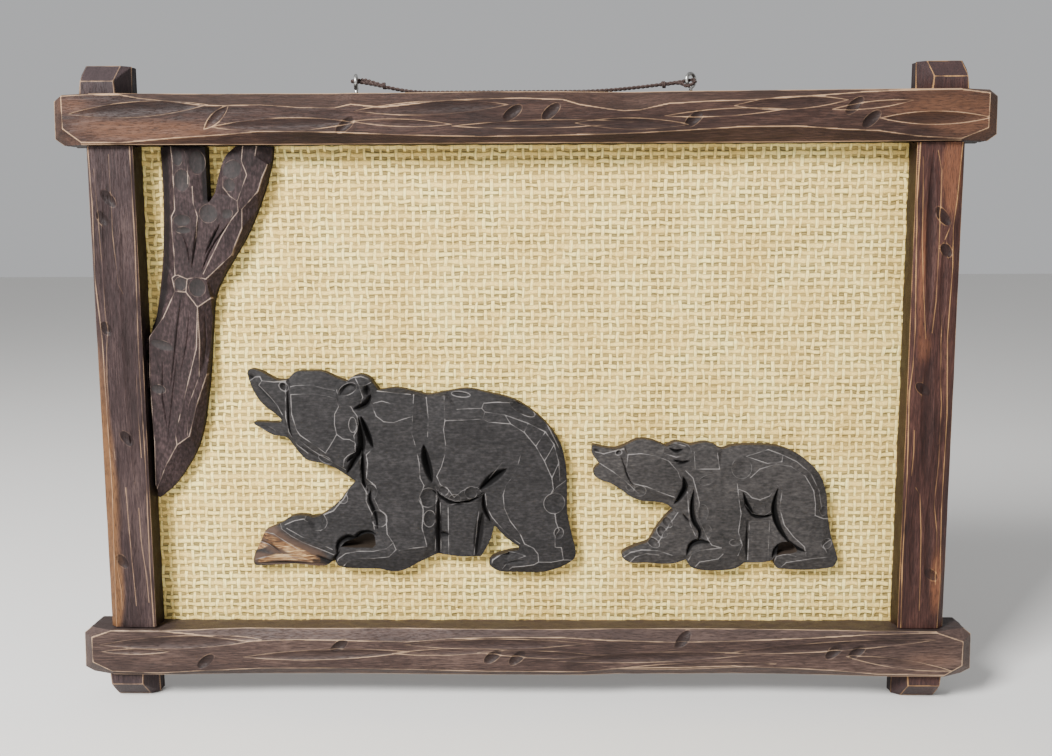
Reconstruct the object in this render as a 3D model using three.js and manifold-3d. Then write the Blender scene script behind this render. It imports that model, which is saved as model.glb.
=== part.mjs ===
// A carved wooden wall plaque: a bear and her cub walk under a forked tree trunk,
// on woven grasscloth, in a frame of four hewn members that cross at the corners.
// It hangs by a twisted cord between two screw eyes in the top rail.
//
// Millimetres, +Z up. The origin is the centre of the top rail's back face, the
// wall is the plane y = 0, and the carved side faces -Y.

import * as THREE from 'three';
import { mergeVertices } from 'three/addons/utils/BufferGeometryUtils.js';
import Module from 'manifold-3d';

// ---- Driving dimensions ----------------------------------------------------

const GAP = 0.3; // clearance between pieces that touch

const RAIL = { length: 470, height: 25, depth: 22 };
const STILE = { width: 24, depth: 18, stub: 15 };
const FRAME = { width: 440, height: 301.5 }; // over the stiles, over the rails
const LAP = 9; // thickness that a stile keeps where it runs behind a rail

const REBATE = { width: 6, depth: 4.5 }; // round the back of the opening
const BOARD = { thickness: 2.9, setBack: 0.4 };
const CLOTH = { thickness: 0.5 };

const BEAR = { thickness: 9, at: [-145, -236] };
const CUB = { thickness: 9, at: [35, -235] };
const TREE = { thickness: 10 };
const PARING = { chord: 13, reach: 1.8, drop: 2.2 }; // facets round a figure's front edge

const EYE = { spacing: 169, back: 7, wire: 1.8, ring: 8.2, rise: 6.6, shank: 9 };
const CORD = { diameter: 1.9, sides: 8, steps: 40 };

// ---- Places worked out from them -------------------------------------------

const railTop = RAIL.height / 2;
const frameBottom = railTop - FRAME.height;
const bottomRailAt = frameBottom + RAIL.height / 2;
const openingTop = railTop - RAIL.height;
const openingBottom = frameBottom + RAIL.height;
const stileInner = FRAME.width / 2 - STILE.width;
const stileAt = FRAME.width / 2 - STILE.width / 2;
const stileEnds = [frameBottom - STILE.stub, railTop + STILE.stub];
const groundFront = -REBATE.depth; // plane that the carved pieces are glued on

// ---- Solids ----------------------------------------------------------------

const wasm = await Module();
wasm.setup();

function solidOf(geometry) {
  const bare = geometry.clone();
  bare.deleteAttribute('normal');
  bare.deleteAttribute('uv');
  const merged = mergeVertices(bare, 1e-4);
  return new wasm.Manifold(new wasm.Mesh({
    numProp: 3,
    vertProperties: new Float32Array(merged.attributes.position.array),
    triVerts: new Uint32Array(merged.index.array),
  }));
}

// A named mesh of a finished solid, with its own flat-shaded material.
function piece(name, solid, colour, roughness = 0.75, metalness = 0) {
  const found = solid.getMesh();
  const geometry = new THREE.BufferGeometry();
  geometry.setAttribute('position', new THREE.BufferAttribute(found.vertProperties, 3));
  geometry.setIndex(new THREE.BufferAttribute(found.triVerts, 1));
  const material = new THREE.MeshStandardMaterial({ color: colour, roughness, metalness });
  const mesh = new THREE.Mesh(geometry, material);
  mesh.name = name;
  return mesh;
}

// A block between two corners.
function block([x0, y0, z0], [x1, y1, z1]) {
  const geometry = new THREE.BoxGeometry(x1 - x0, y1 - y0, z1 - z0);
  geometry.translate((x0 + x1) / 2, (y0 + y1) / 2, (z0 + z1) / 2);
  return solidOf(geometry);
}

// Everything beyond a plane, for splitting a facet off a piece.
function beyond(point, normal) {
  const size = 700;
  const geometry = new THREE.BoxGeometry(size, size, size);
  geometry.translate(0, 0, size / 2);
  const out = new THREE.Vector3(...normal).normalize();
  geometry.applyQuaternion(new THREE.Quaternion().setFromUnitVectors(new THREE.Vector3(0, 0, 1), out));
  geometry.translate(...point);
  return solidOf(geometry);
}

// The bite of a gouge: a long bowl that meets the surface in a leaf-shaped edge.
// "along" is the stroke's direction, "out" points out of the wood.
function gouge(at, along, out, length, width, depth) {
  const spread = 1.25; // bowl size over leaf size, so that the edge stays crisp
  const lift = Math.sqrt(1 - 1 / spread ** 2); // centre height over bowl depth
  const bowl = depth / (1 - lift);
  const geometry = new THREE.SphereGeometry(1, 8, 6);
  geometry.rotateZ(Math.PI / 2);
  geometry.scale((length / 2) * spread, (width / 2) * spread, bowl);
  const x = new THREE.Vector3(...along).normalize();
  const z = new THREE.Vector3(...out).normalize();
  const y = new THREE.Vector3().crossVectors(z, x).normalize();
  x.crossVectors(y, z);
  geometry.applyMatrix4(new THREE.Matrix4().makeBasis(x, y, z));
  const centre = new THREE.Vector3(...at).addScaledVector(z, lift * bowl);
  geometry.translate(centre.x, centre.y, centre.z);
  return solidOf(geometry);
}

// A V-shaped knife cut along a path on a front face at y = front. It starts and
// ends in a point, as two slanted strokes leave it.
function vCut(points, front, width, depth) {
  const curve = new THREE.CatmullRomCurve3(points.map(([x, z]) => new THREE.Vector3(x, front, z)));
  const steps = points.length * 2;
  const proud = 1; // how far the cutter stands out of the face
  const position = [];
  for (let i = 0; i <= steps; i += 1) {
    const at = curve.getPoint(i / steps);
    const run = curve.getTangent(i / steps);
    const swell = 0.12 + 0.88 * Math.sin((Math.PI * i) / steps) ** 0.6;
    const half = (width / 2) * swell * (1 + proud / depth);
    position.push(at.x - run.z * half, front - proud, at.z + run.x * half);
    position.push(at.x + run.z * half, front - proud, at.z - run.x * half);
    position.push(at.x, front + depth * swell, at.z);
  }
  const index = [0, 2, 1, steps * 3, steps * 3 + 1, steps * 3 + 2];
  for (let i = 0; i < steps; i += 1) {
    for (let side = 0; side < 3; side += 1) {
      const a = i * 3 + side;
      const b = i * 3 + ((side + 1) % 3);
      index.push(a, b, b + 3, a, b + 3, a + 3);
    }
  }
  const geometry = new THREE.BufferGeometry();
  geometry.setAttribute('position', new THREE.Float32BufferAttribute(position, 3));
  geometry.setIndex(index);
  return solidOf(geometry);
}

// A closed outline from runs of smooth curve that meet at corners.
function outline(runs, [x0, z0] = [0, 0]) {
  const points = runs.map((run) => run.map(([x, z]) => new THREE.Vector2(x + x0, z + z0)));
  const shape = new THREE.Shape();
  shape.moveTo(points[0][0].x, points[0][0].y);
  points.forEach((run, i) => {
    if (i > 0) shape.lineTo(run[0].x, run[0].y);
    if (run.length > 1) shape.splineThru(run.slice(1));
  });
  return shape;
}

// A board sawn to a shape, with its back on y = back.
function sawn(shape, back, thickness) {
  const geometry = new THREE.ExtrudeGeometry(shape, {
    depth: thickness,
    curveSegments: 1,
    bevelEnabled: false,
  });
  geometry.rotateX(Math.PI / 2);
  geometry.translate(0, back, 0);
  return solidOf(geometry);
}

// Chisel facets round a sawn board's front edge, one for each chord of the outline.
// Each slopes from "reach" inside the edge down to "drop" below the front.
function paring(shape, front, { chord, reach, drop }) {
  const points = shape.getSpacedPoints(Math.round(shape.getLength() / chord));
  const turn = Math.sign(THREE.ShapeUtils.area(points));
  const cutters = [];
  for (let i = 0; i + 1 < points.length; i += 1) {
    const run = points[i + 1].clone().sub(points[i]);
    const out = new THREE.Vector3(turn * run.y, 0, -turn * run.x).normalize();
    const middle = points[i].clone().add(points[i + 1]).multiplyScalar(0.5);
    const height = 3 * drop;
    const geometry = new THREE.BoxGeometry(run.length() + reach / 2, 4 * reach, height);
    geometry.translate(0, 0, height / 2);
    const x = new THREE.Vector3(run.x, 0, run.y).normalize();
    const z = new THREE.Vector3(0, -reach, 0).addScaledVector(out, drop).normalize();
    const y = new THREE.Vector3().crossVectors(z, x);
    geometry.applyMatrix4(new THREE.Matrix4().makeBasis(x, y, z));
    geometry.translate(middle.x, front + drop, middle.y);
    cutters.push(solidOf(geometry));
  }
  return cutters;
}

const cutAll = (solid, cutters) => cutters.reduce((left, cutter) => left.subtract(cutter), solid);

// ---- Frame -----------------------------------------------------------------

// Room for the cloth-covered board behind the opening, with its clearance.
function rebate() {
  return block(
    [-stileInner - REBATE.width, -REBATE.depth, openingBottom - REBATE.width],
    [stileInner + REBATE.width, 1, openingTop + REBATE.width],
  );
}

// Each row is a stroke on a rail's front: middle x, height over the rail's
// centre line, length, width, depth.
const TOP_RAIL_STROKES = [
  [-191, 4.5, 66, 7, 0.9],
  [-118, -3.2, 66, 6, 0.9],
  [-45, 4.6, 76, 6.5, 0.9],
  [54, -3.4, 56, 5, 0.9],
  [132, 6.2, 54, 5.5, 0.9],
  [204, -1.4, 54, 5.5, 0.9],
];
const BOTTOM_RAIL_STROKES = [
  [-192, 6.3, 72, 6, 0.9],
  [-112, 0, 84, 5.5, 0.9],
  [-18, 5, 96, 6, 0.9],
  [76, 0.5, 104, 6, 0.9],
  [138, 9, 56, 5, 0.9],
  [196, 4.2, 66, 5, 0.9],
];

// Slanting oval nicks that stand for knots: middle x, height over the centre line.
const TOP_RAIL_KNOTS = [[-153, 0.5], [-88, -3.5], [-5, 2], [14, 2.3], [84, -1.5], [163, 4.6], [171.5, -1.7]];
const BOTTOM_RAIL_KNOTS = [[-170, -4.5], [-98, 4], [-18, -2.2], [-4, -2.6], [83, 8], [162, 1.2], [174, 1]];
const KNOT = { length: 11.5, width: 5, depth: 1.1 };

// Long hollows hewn along a rail's front corners: middle x, length, and the
// side that they are on, up or down.
const TOP_RAIL_CORNERS = [[-125, 150, 1], [50, 62, 1], [150, 90, 1], [-60, 230, -1], [130, 110, -1]];
const BOTTOM_RAIL_CORNERS = [[-95, 190, 1], [60, 150, 1], [165, 60, 1], [-100, 120, -1], [135, 110, -1]];

function rail(height, strokes, knots, corners) {
  const end = RAIL.length / 2;
  const top = height + RAIL.height / 2;
  const bottom = height - RAIL.height / 2;
  const cutters = [rebate()];

  for (const side of [-1, 1]) {
    // half lap over the stile
    const lap = [side * (stileInner - GAP), side * (FRAME.width / 2 + GAP)].sort((a, b) => a - b);
    cutters.push(block([lap[0], -LAP - GAP, bottom - 1], [lap[1], 1, top + 1]));
    // hewn end: one long facet on the front, one at each corner, two small ones behind them
    cutters.push(beyond([side * (end - 6), -RAIL.depth, height], [side * 0.6, -1, 0]));
    for (const rise of [-1, 1]) {
      const edge = height + (rise * RAIL.height) / 2;
      cutters.push(beyond([side * (end - 15), -RAIL.depth, edge], [side * 0.42, -0.25, rise * 0.9]));
      cutters.push(beyond([side * (end - 4), 0, edge], [side * 0.62, 0, rise * 0.78]));
    }
  }
  for (const [x, over, length, width, depth] of strokes) {
    cutters.push(gouge([x, -RAIL.depth, height + over], [1, 0, 0], [0, -1, 0], length, width, depth));
  }
  for (const [x, over] of knots) {
    const at = [x, -RAIL.depth, height + over];
    cutters.push(gouge(at, [1, 0, 0.85], [0, -1, 0], KNOT.length, KNOT.width, KNOT.depth));
  }
  for (const [x, length, side] of corners) {
    const at = [x, -RAIL.depth + 1, height + side * (RAIL.height / 2 - 1)];
    cutters.push(gouge(at, [1, 0, 0], [0, -1, side], length, 7.5, 1));
  }
  return cutAll(block([-end, -RAIL.depth, bottom], [end, 0, top]), cutters);
}

// Strokes on a stile's front: distance out from its centre line, middle z, length,
// width, depth. "Out" is away from the picture.
const LEFT_STILE_STROKES = [
  [-4, -62, 84, 6.5, 0.9],
  [3, -142, 110, 6, 0.9],
  [-3.5, -226, 76, 6, 0.9],
  [4.5, -234, 60, 5, 0.9],
];
const RIGHT_STILE_STROKES = [
  [-7, -66, 90, 6, 0.9],
  [-1.5, -62, 94, 6.5, 0.9],
  [-1, -160, 84, 6, 0.9],
  [2, -226, 80, 6, 0.9],
  [4.5, -160, 90, 5, 0.9],
];
const LEFT_STILE_KNOTS = [[0.5, -38], [4, -47.5], [-4.5, -105], [-4, -162], [4, -226]];
const RIGHT_STILE_KNOTS = [[0.5, -49], [3.5, -64], [-6, -138], [3.5, -235]];

function stile(side, strokes, knots) {
  const centre = side * stileAt;
  const [low, high] = stileEnds;
  const inner = centre - (side * STILE.width) / 2;
  const outer = centre + (side * STILE.width) / 2;
  const cutters = [rebate()];

  for (const [railAt, up] of [[0, 1], [bottomRailAt, -1]]) {
    // half lap behind the rail
    const reach = RAIL.height / 2 + GAP;
    cutters.push(block(
      [centre - STILE.width, -STILE.depth - 1, railAt - reach],
      [centre + STILE.width, -LAP, railAt + reach],
    ));
    // hewn stub: a slope back to its end, and a facet on each side
    const end = up > 0 ? high : low;
    cutters.push(beyond([centre, -STILE.depth, end - up * 9], [0, -1, up]));
    cutters.push(beyond([inner + side * 5, -STILE.depth, end], [-side * 0.9, -0.4, up * 0.12]));
    cutters.push(beyond([outer - side * 1.5, -STILE.depth, end], [side * 0.98, -0.1, up * 0.12]));
    cutters.push(beyond([outer, -4, end - up * 4], [side * 0.7, 0.1, up * 0.7]));
  }
  for (const [out, z, length, width, depth] of strokes) {
    const at = [centre + side * out, -STILE.depth, z];
    cutters.push(gouge(at, [side * 0.01, 0, 1], [0, -1, 0], length, width, depth));
  }
  for (const [out, z] of knots) {
    const at = [centre + side * out, -STILE.depth, z];
    cutters.push(gouge(at, [0.75, 0, -1], [0, -1, 0], KNOT.length, KNOT.width, KNOT.depth));
  }
  const walls = [inner, outer].sort((a, b) => a - b);
  return cutAll(block([walls[0], -STILE.depth, low], [walls[1], 0, high]), cutters);
}

// ---- Picture ground --------------------------------------------------------

// The board and its cloth reach into the rebate, clear of its walls.
function ground(back, thickness) {
  const reach = REBATE.width - GAP - 0.2;
  return block(
    [-stileInner - reach, back - thickness, openingBottom - reach],
    [stileInner + reach, back, openingTop + reach],
  );
}

const boardBack = -BOARD.setBack;
const clothBack = boardBack - BOARD.thickness - GAP;

// ---- Tree ------------------------------------------------------------------

// Forked trunk: down the side by the stile to the tip, up the other side, and
// the notch between the two branches.
const TREE_OUTLINE = [
  [[-161.2, -12.8], [-161.1, -39.5]],
  [[-160.4, -40.8], [-159.6, -40.3]],
  [[-159.6, -40.3], [-157.4, -36], [-155.7, -29.5], [-153.6, -22.6], [-150.9, -17.2], [-146, -12.8]],
  [[-127.4, -12.8], [-128.4, -20.5], [-131.6, -32], [-136, -44], [-142, -57], [-149, -68.5],
    [-155.8, -79.5], [-160.2, -89.5], [-161.6, -100], [-163, -114.5], [-164.4, -129], [-166.4, -143],
    [-169, -157.5], [-172.8, -169], [-178.4, -179], [-185.5, -188.5], [-192.5, -194.6]],
  [[-193.4, -195.2], [-194.8, -194.6]],
  [[-195.3, -188], [-195.5, -150], [-195.4, -118], [-194.2, -107], [-191.4, -99], [-188.8, -85],
    [-186.8, -70], [-185.4, -50], [-185, -30], [-185.4, -12.8]],
];

function tree() {
  const front = groundFront - GAP - TREE.thickness;
  const facets = [
    [[-186, 0, -140], [-0.5, -1, 0], 60, 15],
    [[-163, 0, -150], [0.7, -1, -0.1], 70, 14],
    [[-141, 0, -45], [0.8, -1, -0.3], 66, 12],
    [[-182, 0, -45], [-0.7, -1, 0], 68, 8],
    [[-156, 0, -62], [-0.2, -1, 0], 34, 6],
  ];
  const cutters = facets.map(([[x, , z], out, length, width]) => {
    const run = out[2] === 0 ? [0, 0, 1] : [0.3, 0, 1];
    return gouge([x, front, z], run, out, length, width, 1.3);
  });
  cutters.push(vCut([[-163.5, -50], [-166, -66], [-169, -78]], front, 2.5, 2.5));
  cutters.push(vCut([[-152, -48], [-158, -62], [-164, -76]], front, 2.5, 2));
  cutters.push(vCut([[-183, -80], [-176, -86], [-170, -93], [-163, -90]], front, 3, 1.6));
  const shape = outline(TREE_OUTLINE);
  cutters.push(...paring(shape, front, PARING));
  return cutAll(sawn(shape, groundFront - GAP, TREE.thickness), cutters);
}

// ---- Bears -----------------------------------------------------------------

// Outline of the bear with the rock under her far paw, from the tip of the nose
// round over the back. x runs from the rock's left corner, z from the soles.
const BEAR_OUTLINE = [
  [[0.6, 107.2], [2.2, 109.4], [7.6, 108.2], [14.7, 104.3], [19, 103.6], [22.3, 104.6],
    [26.1, 107.9], [34.7, 108.3], [40.5, 107.9], [49, 104.1], [52.6, 102.8]],
  [[52.6, 102.8], [55.6, 105.3], [59.7, 106.6], [64.4, 104.9], [67, 101.2], [69.4, 98.2]],
  [[69.4, 98.2], [78.3, 99.3], [88.3, 97.4], [95, 95.8], [105, 97.5], [115.7, 98.8], [126.4, 96.6],
    [137.9, 93.7], [147.1, 88.7], [156.4, 80.6], [163.6, 70], [166.8, 57.2], [167.4, 44],
    [167.5, 32.5], [170, 20], [172, 10.5], [169.5, 6.2], [162.9, 2.7], [154.3, 0.4], [142, 0.4],
    [131.5, 0.9], [126.2, 4.6], [128, 8.6], [136.4, 11.5], [141.6, 12.2]],
  [[142.4, 14.2], [135, 19.6], [129.8, 25.4]],
  [[128.8, 25.2], [126.6, 17.5], [122, 9.2]],
  [[121, 8.9], [110, 8.9], [99, 10.6]],
  [[99, 10.6], [90, 6.4], [80.6, 1.5], [74, 0.7], [67, 2.1], [52.7, 2.4], [46.6, 3.4], [43.8, 6.4]],
  [[42.8, 6.2], [37, 3.5], [22, 4.6], [6.3, 3.8], [0.8, 4.4], [0.6, 8.6], [3.7, 15.5], [7.4, 23.2]],
  [[7.4, 23.2], [15, 26.5], [22.2, 30.7], [29.3, 31], [33, 29.9], [38, 31.8], [45.8, 37.7],
    [51.5, 45], [55.9, 49.7]],
  [[55.9, 49.7], [45.4, 56.8], [38.5, 59.4], [30.4, 61.4], [25.4, 66.8], [20.4, 73.2], [13.3, 74.6],
    [7, 78.2], [3.6, 80.2]],
  [[3.2, 81.4], [10, 81.2], [16.6, 80.9]],
  [[18, 82.4], [15.4, 85.2], [8.3, 90.9], [3.4, 98.2], [0.6, 107.2]],
];

// See-through gap between her forelegs, above the near paw.
const BEAR_GAP = [
  [[47.5, 14.6], [50.5, 17.6], [55, 18.6], [60, 21.2], [65, 21], [66.2, 15.6]],
  [[64.5, 14.2], [54, 14.3], [47.5, 14.6]],
];

// Deep knife cuts: path, width, depth.
const BEAR_CUTS = [
  [[[22.4, 99.5], [22.3, 90], [22.5, 78], [24.5, 71]], 1.6, 1.3],
  [[[64, 94.5], [60.5, 88], [61, 80], [60, 72], [56.5, 64], [52, 54]], 6, 4.2],
  [[[61, 64], [60.4, 56], [61.5, 47], [64.8, 38], [64.6, 26]], 4.5, 4.2],
  [[[92, 68.5], [94, 60], [96, 51]], 5, 4.2],
  [[[97, 46.5], [104, 41.5], [113, 39.4], [123, 43.5], [130, 51.5], [135, 57]], 4.6, 4],
  [[[124.5, 44], [124.6, 36], [128, 27]], 4.2, 4.2],
  [[[103.6, 97], [103.4, 88], [103, 76], [104, 66], [101, 56]], 2.4, 1],
  [[[46.5, 6], [56, 9.5], [67, 8], [76, 10.5], [88, 14.5]], 1.8, 1],
  [[[14.5, 26.5], [22, 20.5], [34, 16], [43, 12.6]], 1.6, 1],
];

// Places where the wood is cut back: her far foreleg, far hind leg and ear.
const BEAR_HOLLOWS = [
  [[[99.6, 44], [108, 39.5], [118, 39.5], [123.6, 43]], [[124.2, 30], [122, 9]], [[99.6, 8]]],
];
const BEAR_EAR = [[54.5, 98.5], [12, 7.5]];

const CUB_OUTLINE = [
  [[0.3, 66.8], [0.9, 68], [5.2, 67], [12.4, 66.2], [17.4, 67.8], [24.1, 70.9], [31.3, 70.5],
    [38, 67.8], [39.3, 67.3]],
  [[39.3, 67.3], [44.1, 69.8], [50.5, 68.3], [52, 68]],
  [[52, 68], [59.1, 69.4], [64, 68.2], [68.4, 65.9], [74, 67.5], [84, 68], [96.3, 67.3], [105.2, 64.4],
    [113, 59.4], [119.7, 52], [123.3, 42], [124.4, 30], [126.6, 18.6], [129.6, 9.5], [130.2, 6.4],
    [128, 2.6], [122, 1.3], [113, 0.7], [104, 1.1], [98.6, 1.8], [96, 5], [97.2, 8.2], [96.4, 6]],
  [[95.6, 5.6], [91, 4.7], [81.2, 4.5]],
  [[81.2, 4.5], [76.3, 1.4], [69, 0.4], [60, 0.4], [53.8, 1.8], [51.2, 4.6], [50.6, 6.2]],
  [[50, 6.2], [44.7, 4.2], [38, 3.8], [29.7, 4.4], [21.3, 4.4], [16.8, 7.2], [17.4, 10.4],
    [24.7, 13.8], [29.4, 15.4], [31.2, 17]],
  [[31.2, 17], [34.8, 23.4], [40, 30], [43.4, 33]],
  [[43.4, 33], [39.7, 36.4], [33.8, 37.7], [27.2, 38.2], [21.3, 40.2], [15.2, 44.5], [10.2, 47.6],
    [5, 49.4], [1.6, 51.9], [1.2, 54.2], [2.6, 56.4]],
  [[4.6, 57.8], [2.6, 60.2], [0.4, 63.6], [0.3, 66.8]],
];

// Small see-through gap in front of the cub's hind leg.
const CUB_GAP = [
  [[97.8, 9], [100, 16.2], [105, 15.8], [108, 11.2], [97.8, 9]],
];

const CUB_CUTS = [
  [[[15.2, 62.5], [17.5, 57], [19.5, 51], [22.5, 46]], 1.4, 1],
  [[[48, 52], [49.5, 47], [47.5, 42], [44, 37.5], [43.2, 34]], 4.2, 3.6],
  [[[53.6, 44], [53, 36], [54, 28], [57, 20], [55, 14], [51.5, 8]], 3.2, 3.4],
  [[[81, 42.5], [82.5, 35], [86, 30], [92, 29.4], [97, 30.4]], 3.4, 3],
  [[[98, 44], [96.8, 36], [98, 28], [101, 21], [104, 17]], 3.6, 3.6],
  [[[42, 60], [46, 58.5], [50.5, 60]], 2.4, 1.8],
  [[[19, 6.4], [22.5, 10.4], [28, 11.8], [36, 11]], 1.8, 1],
];
const CUB_HOLLOWS = [
  [[[82.6, 30], [86.5, 27], [92, 26.6], [97, 27.5]], [[98, 18], [95.4, 4]], [[82.6, 3]]],
];
const CUB_EAR = [[42.8, 65.6], [5, 3.6]];

function bear(build, outer, gap, cuts, hollows, ear) {
  const back = groundFront - GAP;
  const front = back - build.thickness;
  const [x0, z0] = build.at;
  const shift = (points) => points.map(([x, z]) => [x + x0, z + z0]);
  const shape = outline(outer, build.at);
  const cutters = [sawn(outline(gap, build.at), 1, 2 * build.thickness), ...paring(shape, front, PARING)];
  for (const [path, width, depth] of cuts) cutters.push(vCut(shift(path), front, width, depth));
  for (const runs of hollows) {
    cutters.push(sawn(outline(runs, build.at), front + 2.6, 6));
  }
  const [[earX, earZ], [earLength, earWidth]] = ear;
  const earAt = [earX + x0, front, earZ + z0];
  cutters.push(gouge(earAt, [1, 0, 0.3], [0, -1, 0], earLength, earWidth, 1.8));
  return cutAll(sawn(shape, back, build.thickness), cutters);
}

// ---- Screw eyes and cord ---------------------------------------------------

// A closed ring on a short neck and shank. The ring is turned about the shank.
function screwEye(side, turn) {
  const ring = solidOf(new THREE.TorusGeometry(EYE.ring / 2 - EYE.wire / 2, EYE.wire / 2, 6, 14));
  const shankGeometry = new THREE.CylinderGeometry(EYE.wire / 2, EYE.wire / 2, EYE.shank + 2.6, 8);
  shankGeometry.translate(0, -EYE.ring / 2 - EYE.shank / 2 + 0.2, 0);
  const upright = new THREE.Matrix4().makeRotationZ(turn)
    .multiply(new THREE.Matrix4().makeRotationX(Math.PI / 2));
  const place = new THREE.Matrix4()
    .makeTranslation((side * EYE.spacing) / 2, -EYE.back, railTop + EYE.rise)
    .multiply(upright);
  return ring.add(solidOf(shankGeometry)).transform(place.elements);
}

// The pilot hole that the shank is driven into, with its clearance.
function pilotHole(side) {
  const radius = EYE.wire / 2 + GAP;
  const geometry = new THREE.CylinderGeometry(radius, radius, EYE.shank, 8);
  geometry.rotateX(Math.PI / 2);
  geometry.translate((side * EYE.spacing) / 2, -EYE.back, railTop + 1 - EYE.shank / 2);
  return solidOf(geometry);
}

// The cord runs from ring to ring and lies along the top rail between them.
const CORD_ROUTE = [
  [-86.2, 6.9], [-84.4, 6.7], [-80, 6.2], [-74, 5.1], [-68, 3.8], [-62, 2.6], [-56, 1.75], [-50, 1.35],
  [-44, 1.25], [-36, 1.25], [-26, 1.25], [-14, 1.25], [-2, 1.25], [10, 1.25], [20, 1.25], [28, 1.3],
  [36, 1.5], [44, 1.95], [52, 2.6], [60, 3.4], [68, 4.3], [76, 5.3], [82, 6.2], [84.4, 6.6], [86.2, 6.8],
];

function cord() {
  const points = CORD_ROUTE.map(([x, over]) => new THREE.Vector3(x, -EYE.back, railTop + over));
  const round = new THREE.Shape();
  round.absarc(0, 0, CORD.diameter / 2, 0, 2 * Math.PI);
  const geometry = new THREE.ExtrudeGeometry(round, {
    steps: CORD.steps,
    curveSegments: CORD.sides / 2,
    extrudePath: new THREE.CatmullRomCurve3(points),
  });
  return solidOf(geometry);
}

// ---- Assembly --------------------------------------------------------------

const WOOD = { frame: 0x5a4038, back: 0x9a7a55, tree: 0x54474a, bear: 0x4c4b4c, cub: 0x555354 };

const topRail = rail(0, TOP_RAIL_STROKES, TOP_RAIL_KNOTS, TOP_RAIL_CORNERS);
const bottomRail = rail(bottomRailAt, BOTTOM_RAIL_STROKES, BOTTOM_RAIL_KNOTS, BOTTOM_RAIL_CORNERS);

const plaque = new THREE.Group();
plaque.add(
  piece('top_rail', cutAll(topRail, [pilotHole(-1), pilotHole(1)]), WOOD.frame),
  piece('bottom_rail', bottomRail, WOOD.frame),
  piece('left_stile', stile(-1, LEFT_STILE_STROKES, LEFT_STILE_KNOTS), WOOD.frame),
  piece('right_stile', stile(1, RIGHT_STILE_STROKES, RIGHT_STILE_KNOTS), WOOD.frame),
  piece('backing_board', ground(boardBack, BOARD.thickness), WOOD.back),
  piece('woven_cloth', ground(clothBack, CLOTH.thickness), 0xd3c4a4, 0.95),
  piece('carved_tree', tree(), WOOD.tree),
  piece('mother_bear', bear(BEAR, BEAR_OUTLINE, BEAR_GAP, BEAR_CUTS, BEAR_HOLLOWS, BEAR_EAR), WOOD.bear),
  piece('bear_cub', bear(CUB, CUB_OUTLINE, CUB_GAP, CUB_CUTS, CUB_HOLLOWS, CUB_EAR), WOOD.cub),
  piece('screw_eye_left', screwEye(-1, 1.72), 0xa9a9a6, 0.35, 1),
  piece('screw_eye_right', screwEye(1, 0.8), 0xa9a9a6, 0.35, 1),
  piece('hanging_cord', cord(), 0x2d211e, 0.8),
);

export default plaque;
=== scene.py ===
# A wall plaque carved by hand: a bear and her cub walk under a forked tree trunk, on woven
# grasscloth, in a frame of four hewn members that cross at the corners. It hangs by a twisted
# cord between two screw eyes. Lists of points are in millimetres, like the part's own source.

import math
from functools import partial

import bpy
import numpy as np
from mathutils import Matrix, Vector
from mathutils.geometry import delaunay_2d_cdt
from mathutils.kdtree import KDTree
from mathutils.noise import noise


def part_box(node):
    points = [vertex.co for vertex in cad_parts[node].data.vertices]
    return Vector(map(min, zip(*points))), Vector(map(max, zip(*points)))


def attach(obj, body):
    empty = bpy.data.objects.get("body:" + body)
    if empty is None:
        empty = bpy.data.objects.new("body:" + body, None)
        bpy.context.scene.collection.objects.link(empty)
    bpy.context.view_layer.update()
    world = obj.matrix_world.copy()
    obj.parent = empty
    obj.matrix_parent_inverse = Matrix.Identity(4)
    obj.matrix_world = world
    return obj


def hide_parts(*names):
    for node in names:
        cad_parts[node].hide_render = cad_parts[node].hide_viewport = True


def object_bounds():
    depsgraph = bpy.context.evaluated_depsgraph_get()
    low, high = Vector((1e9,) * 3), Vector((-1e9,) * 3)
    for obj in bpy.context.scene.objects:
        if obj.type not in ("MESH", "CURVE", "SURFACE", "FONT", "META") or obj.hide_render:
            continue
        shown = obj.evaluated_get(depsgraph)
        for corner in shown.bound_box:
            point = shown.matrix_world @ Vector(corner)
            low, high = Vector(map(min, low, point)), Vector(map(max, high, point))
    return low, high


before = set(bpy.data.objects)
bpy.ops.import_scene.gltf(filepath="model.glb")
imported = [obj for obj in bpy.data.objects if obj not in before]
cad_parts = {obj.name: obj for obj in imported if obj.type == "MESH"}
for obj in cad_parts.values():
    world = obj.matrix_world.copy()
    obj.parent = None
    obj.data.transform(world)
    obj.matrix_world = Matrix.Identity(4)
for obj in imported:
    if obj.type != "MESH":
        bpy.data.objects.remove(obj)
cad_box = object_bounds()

MM = 0.001

# ---- Camera ----------------------------------------------------------------
# A full-frame camera just above the middle of the plaque, tipped down a little, so that the
# tops of both rails and the inside of the frame show.

camera = bpy.data.objects.new("camera", bpy.data.cameras.new("camera"))
camera.data.sensor_width = 36
camera.data.lens = 37.64
pitch, yaw, roll = (math.radians(a) for a in (7.479, 0.904, -0.229))
camera.matrix_world = (
    Matrix.Translation((0.00993, -0.57692, -0.05721))
    @ Matrix.Rotation(yaw, 4, "Z")
    @ Matrix.Rotation(math.pi / 2 - pitch, 4, "X")
    @ Matrix.Rotation(roll, 4, "Z")
)
bpy.context.collection.objects.link(camera)
bpy.context.scene.camera = camera

# ---- Hanging cord ----------------------------------------------------------
# Two-ply twisted twine, dyed dark brown. It is tied to the two screw eyes and is slack, so that
# it lies along the top rail between them.


def linear(tint):
    """A colour as Blender holds it, from its sRGB hex value."""
    parts = [int(tint[i:i + 2], 16) / 255 for i in (1, 3, 5)]
    return (*(p / 12.92 if p <= 0.04045 else ((p + 0.055) / 1.055) ** 2.4 for p in parts), 1)


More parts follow.
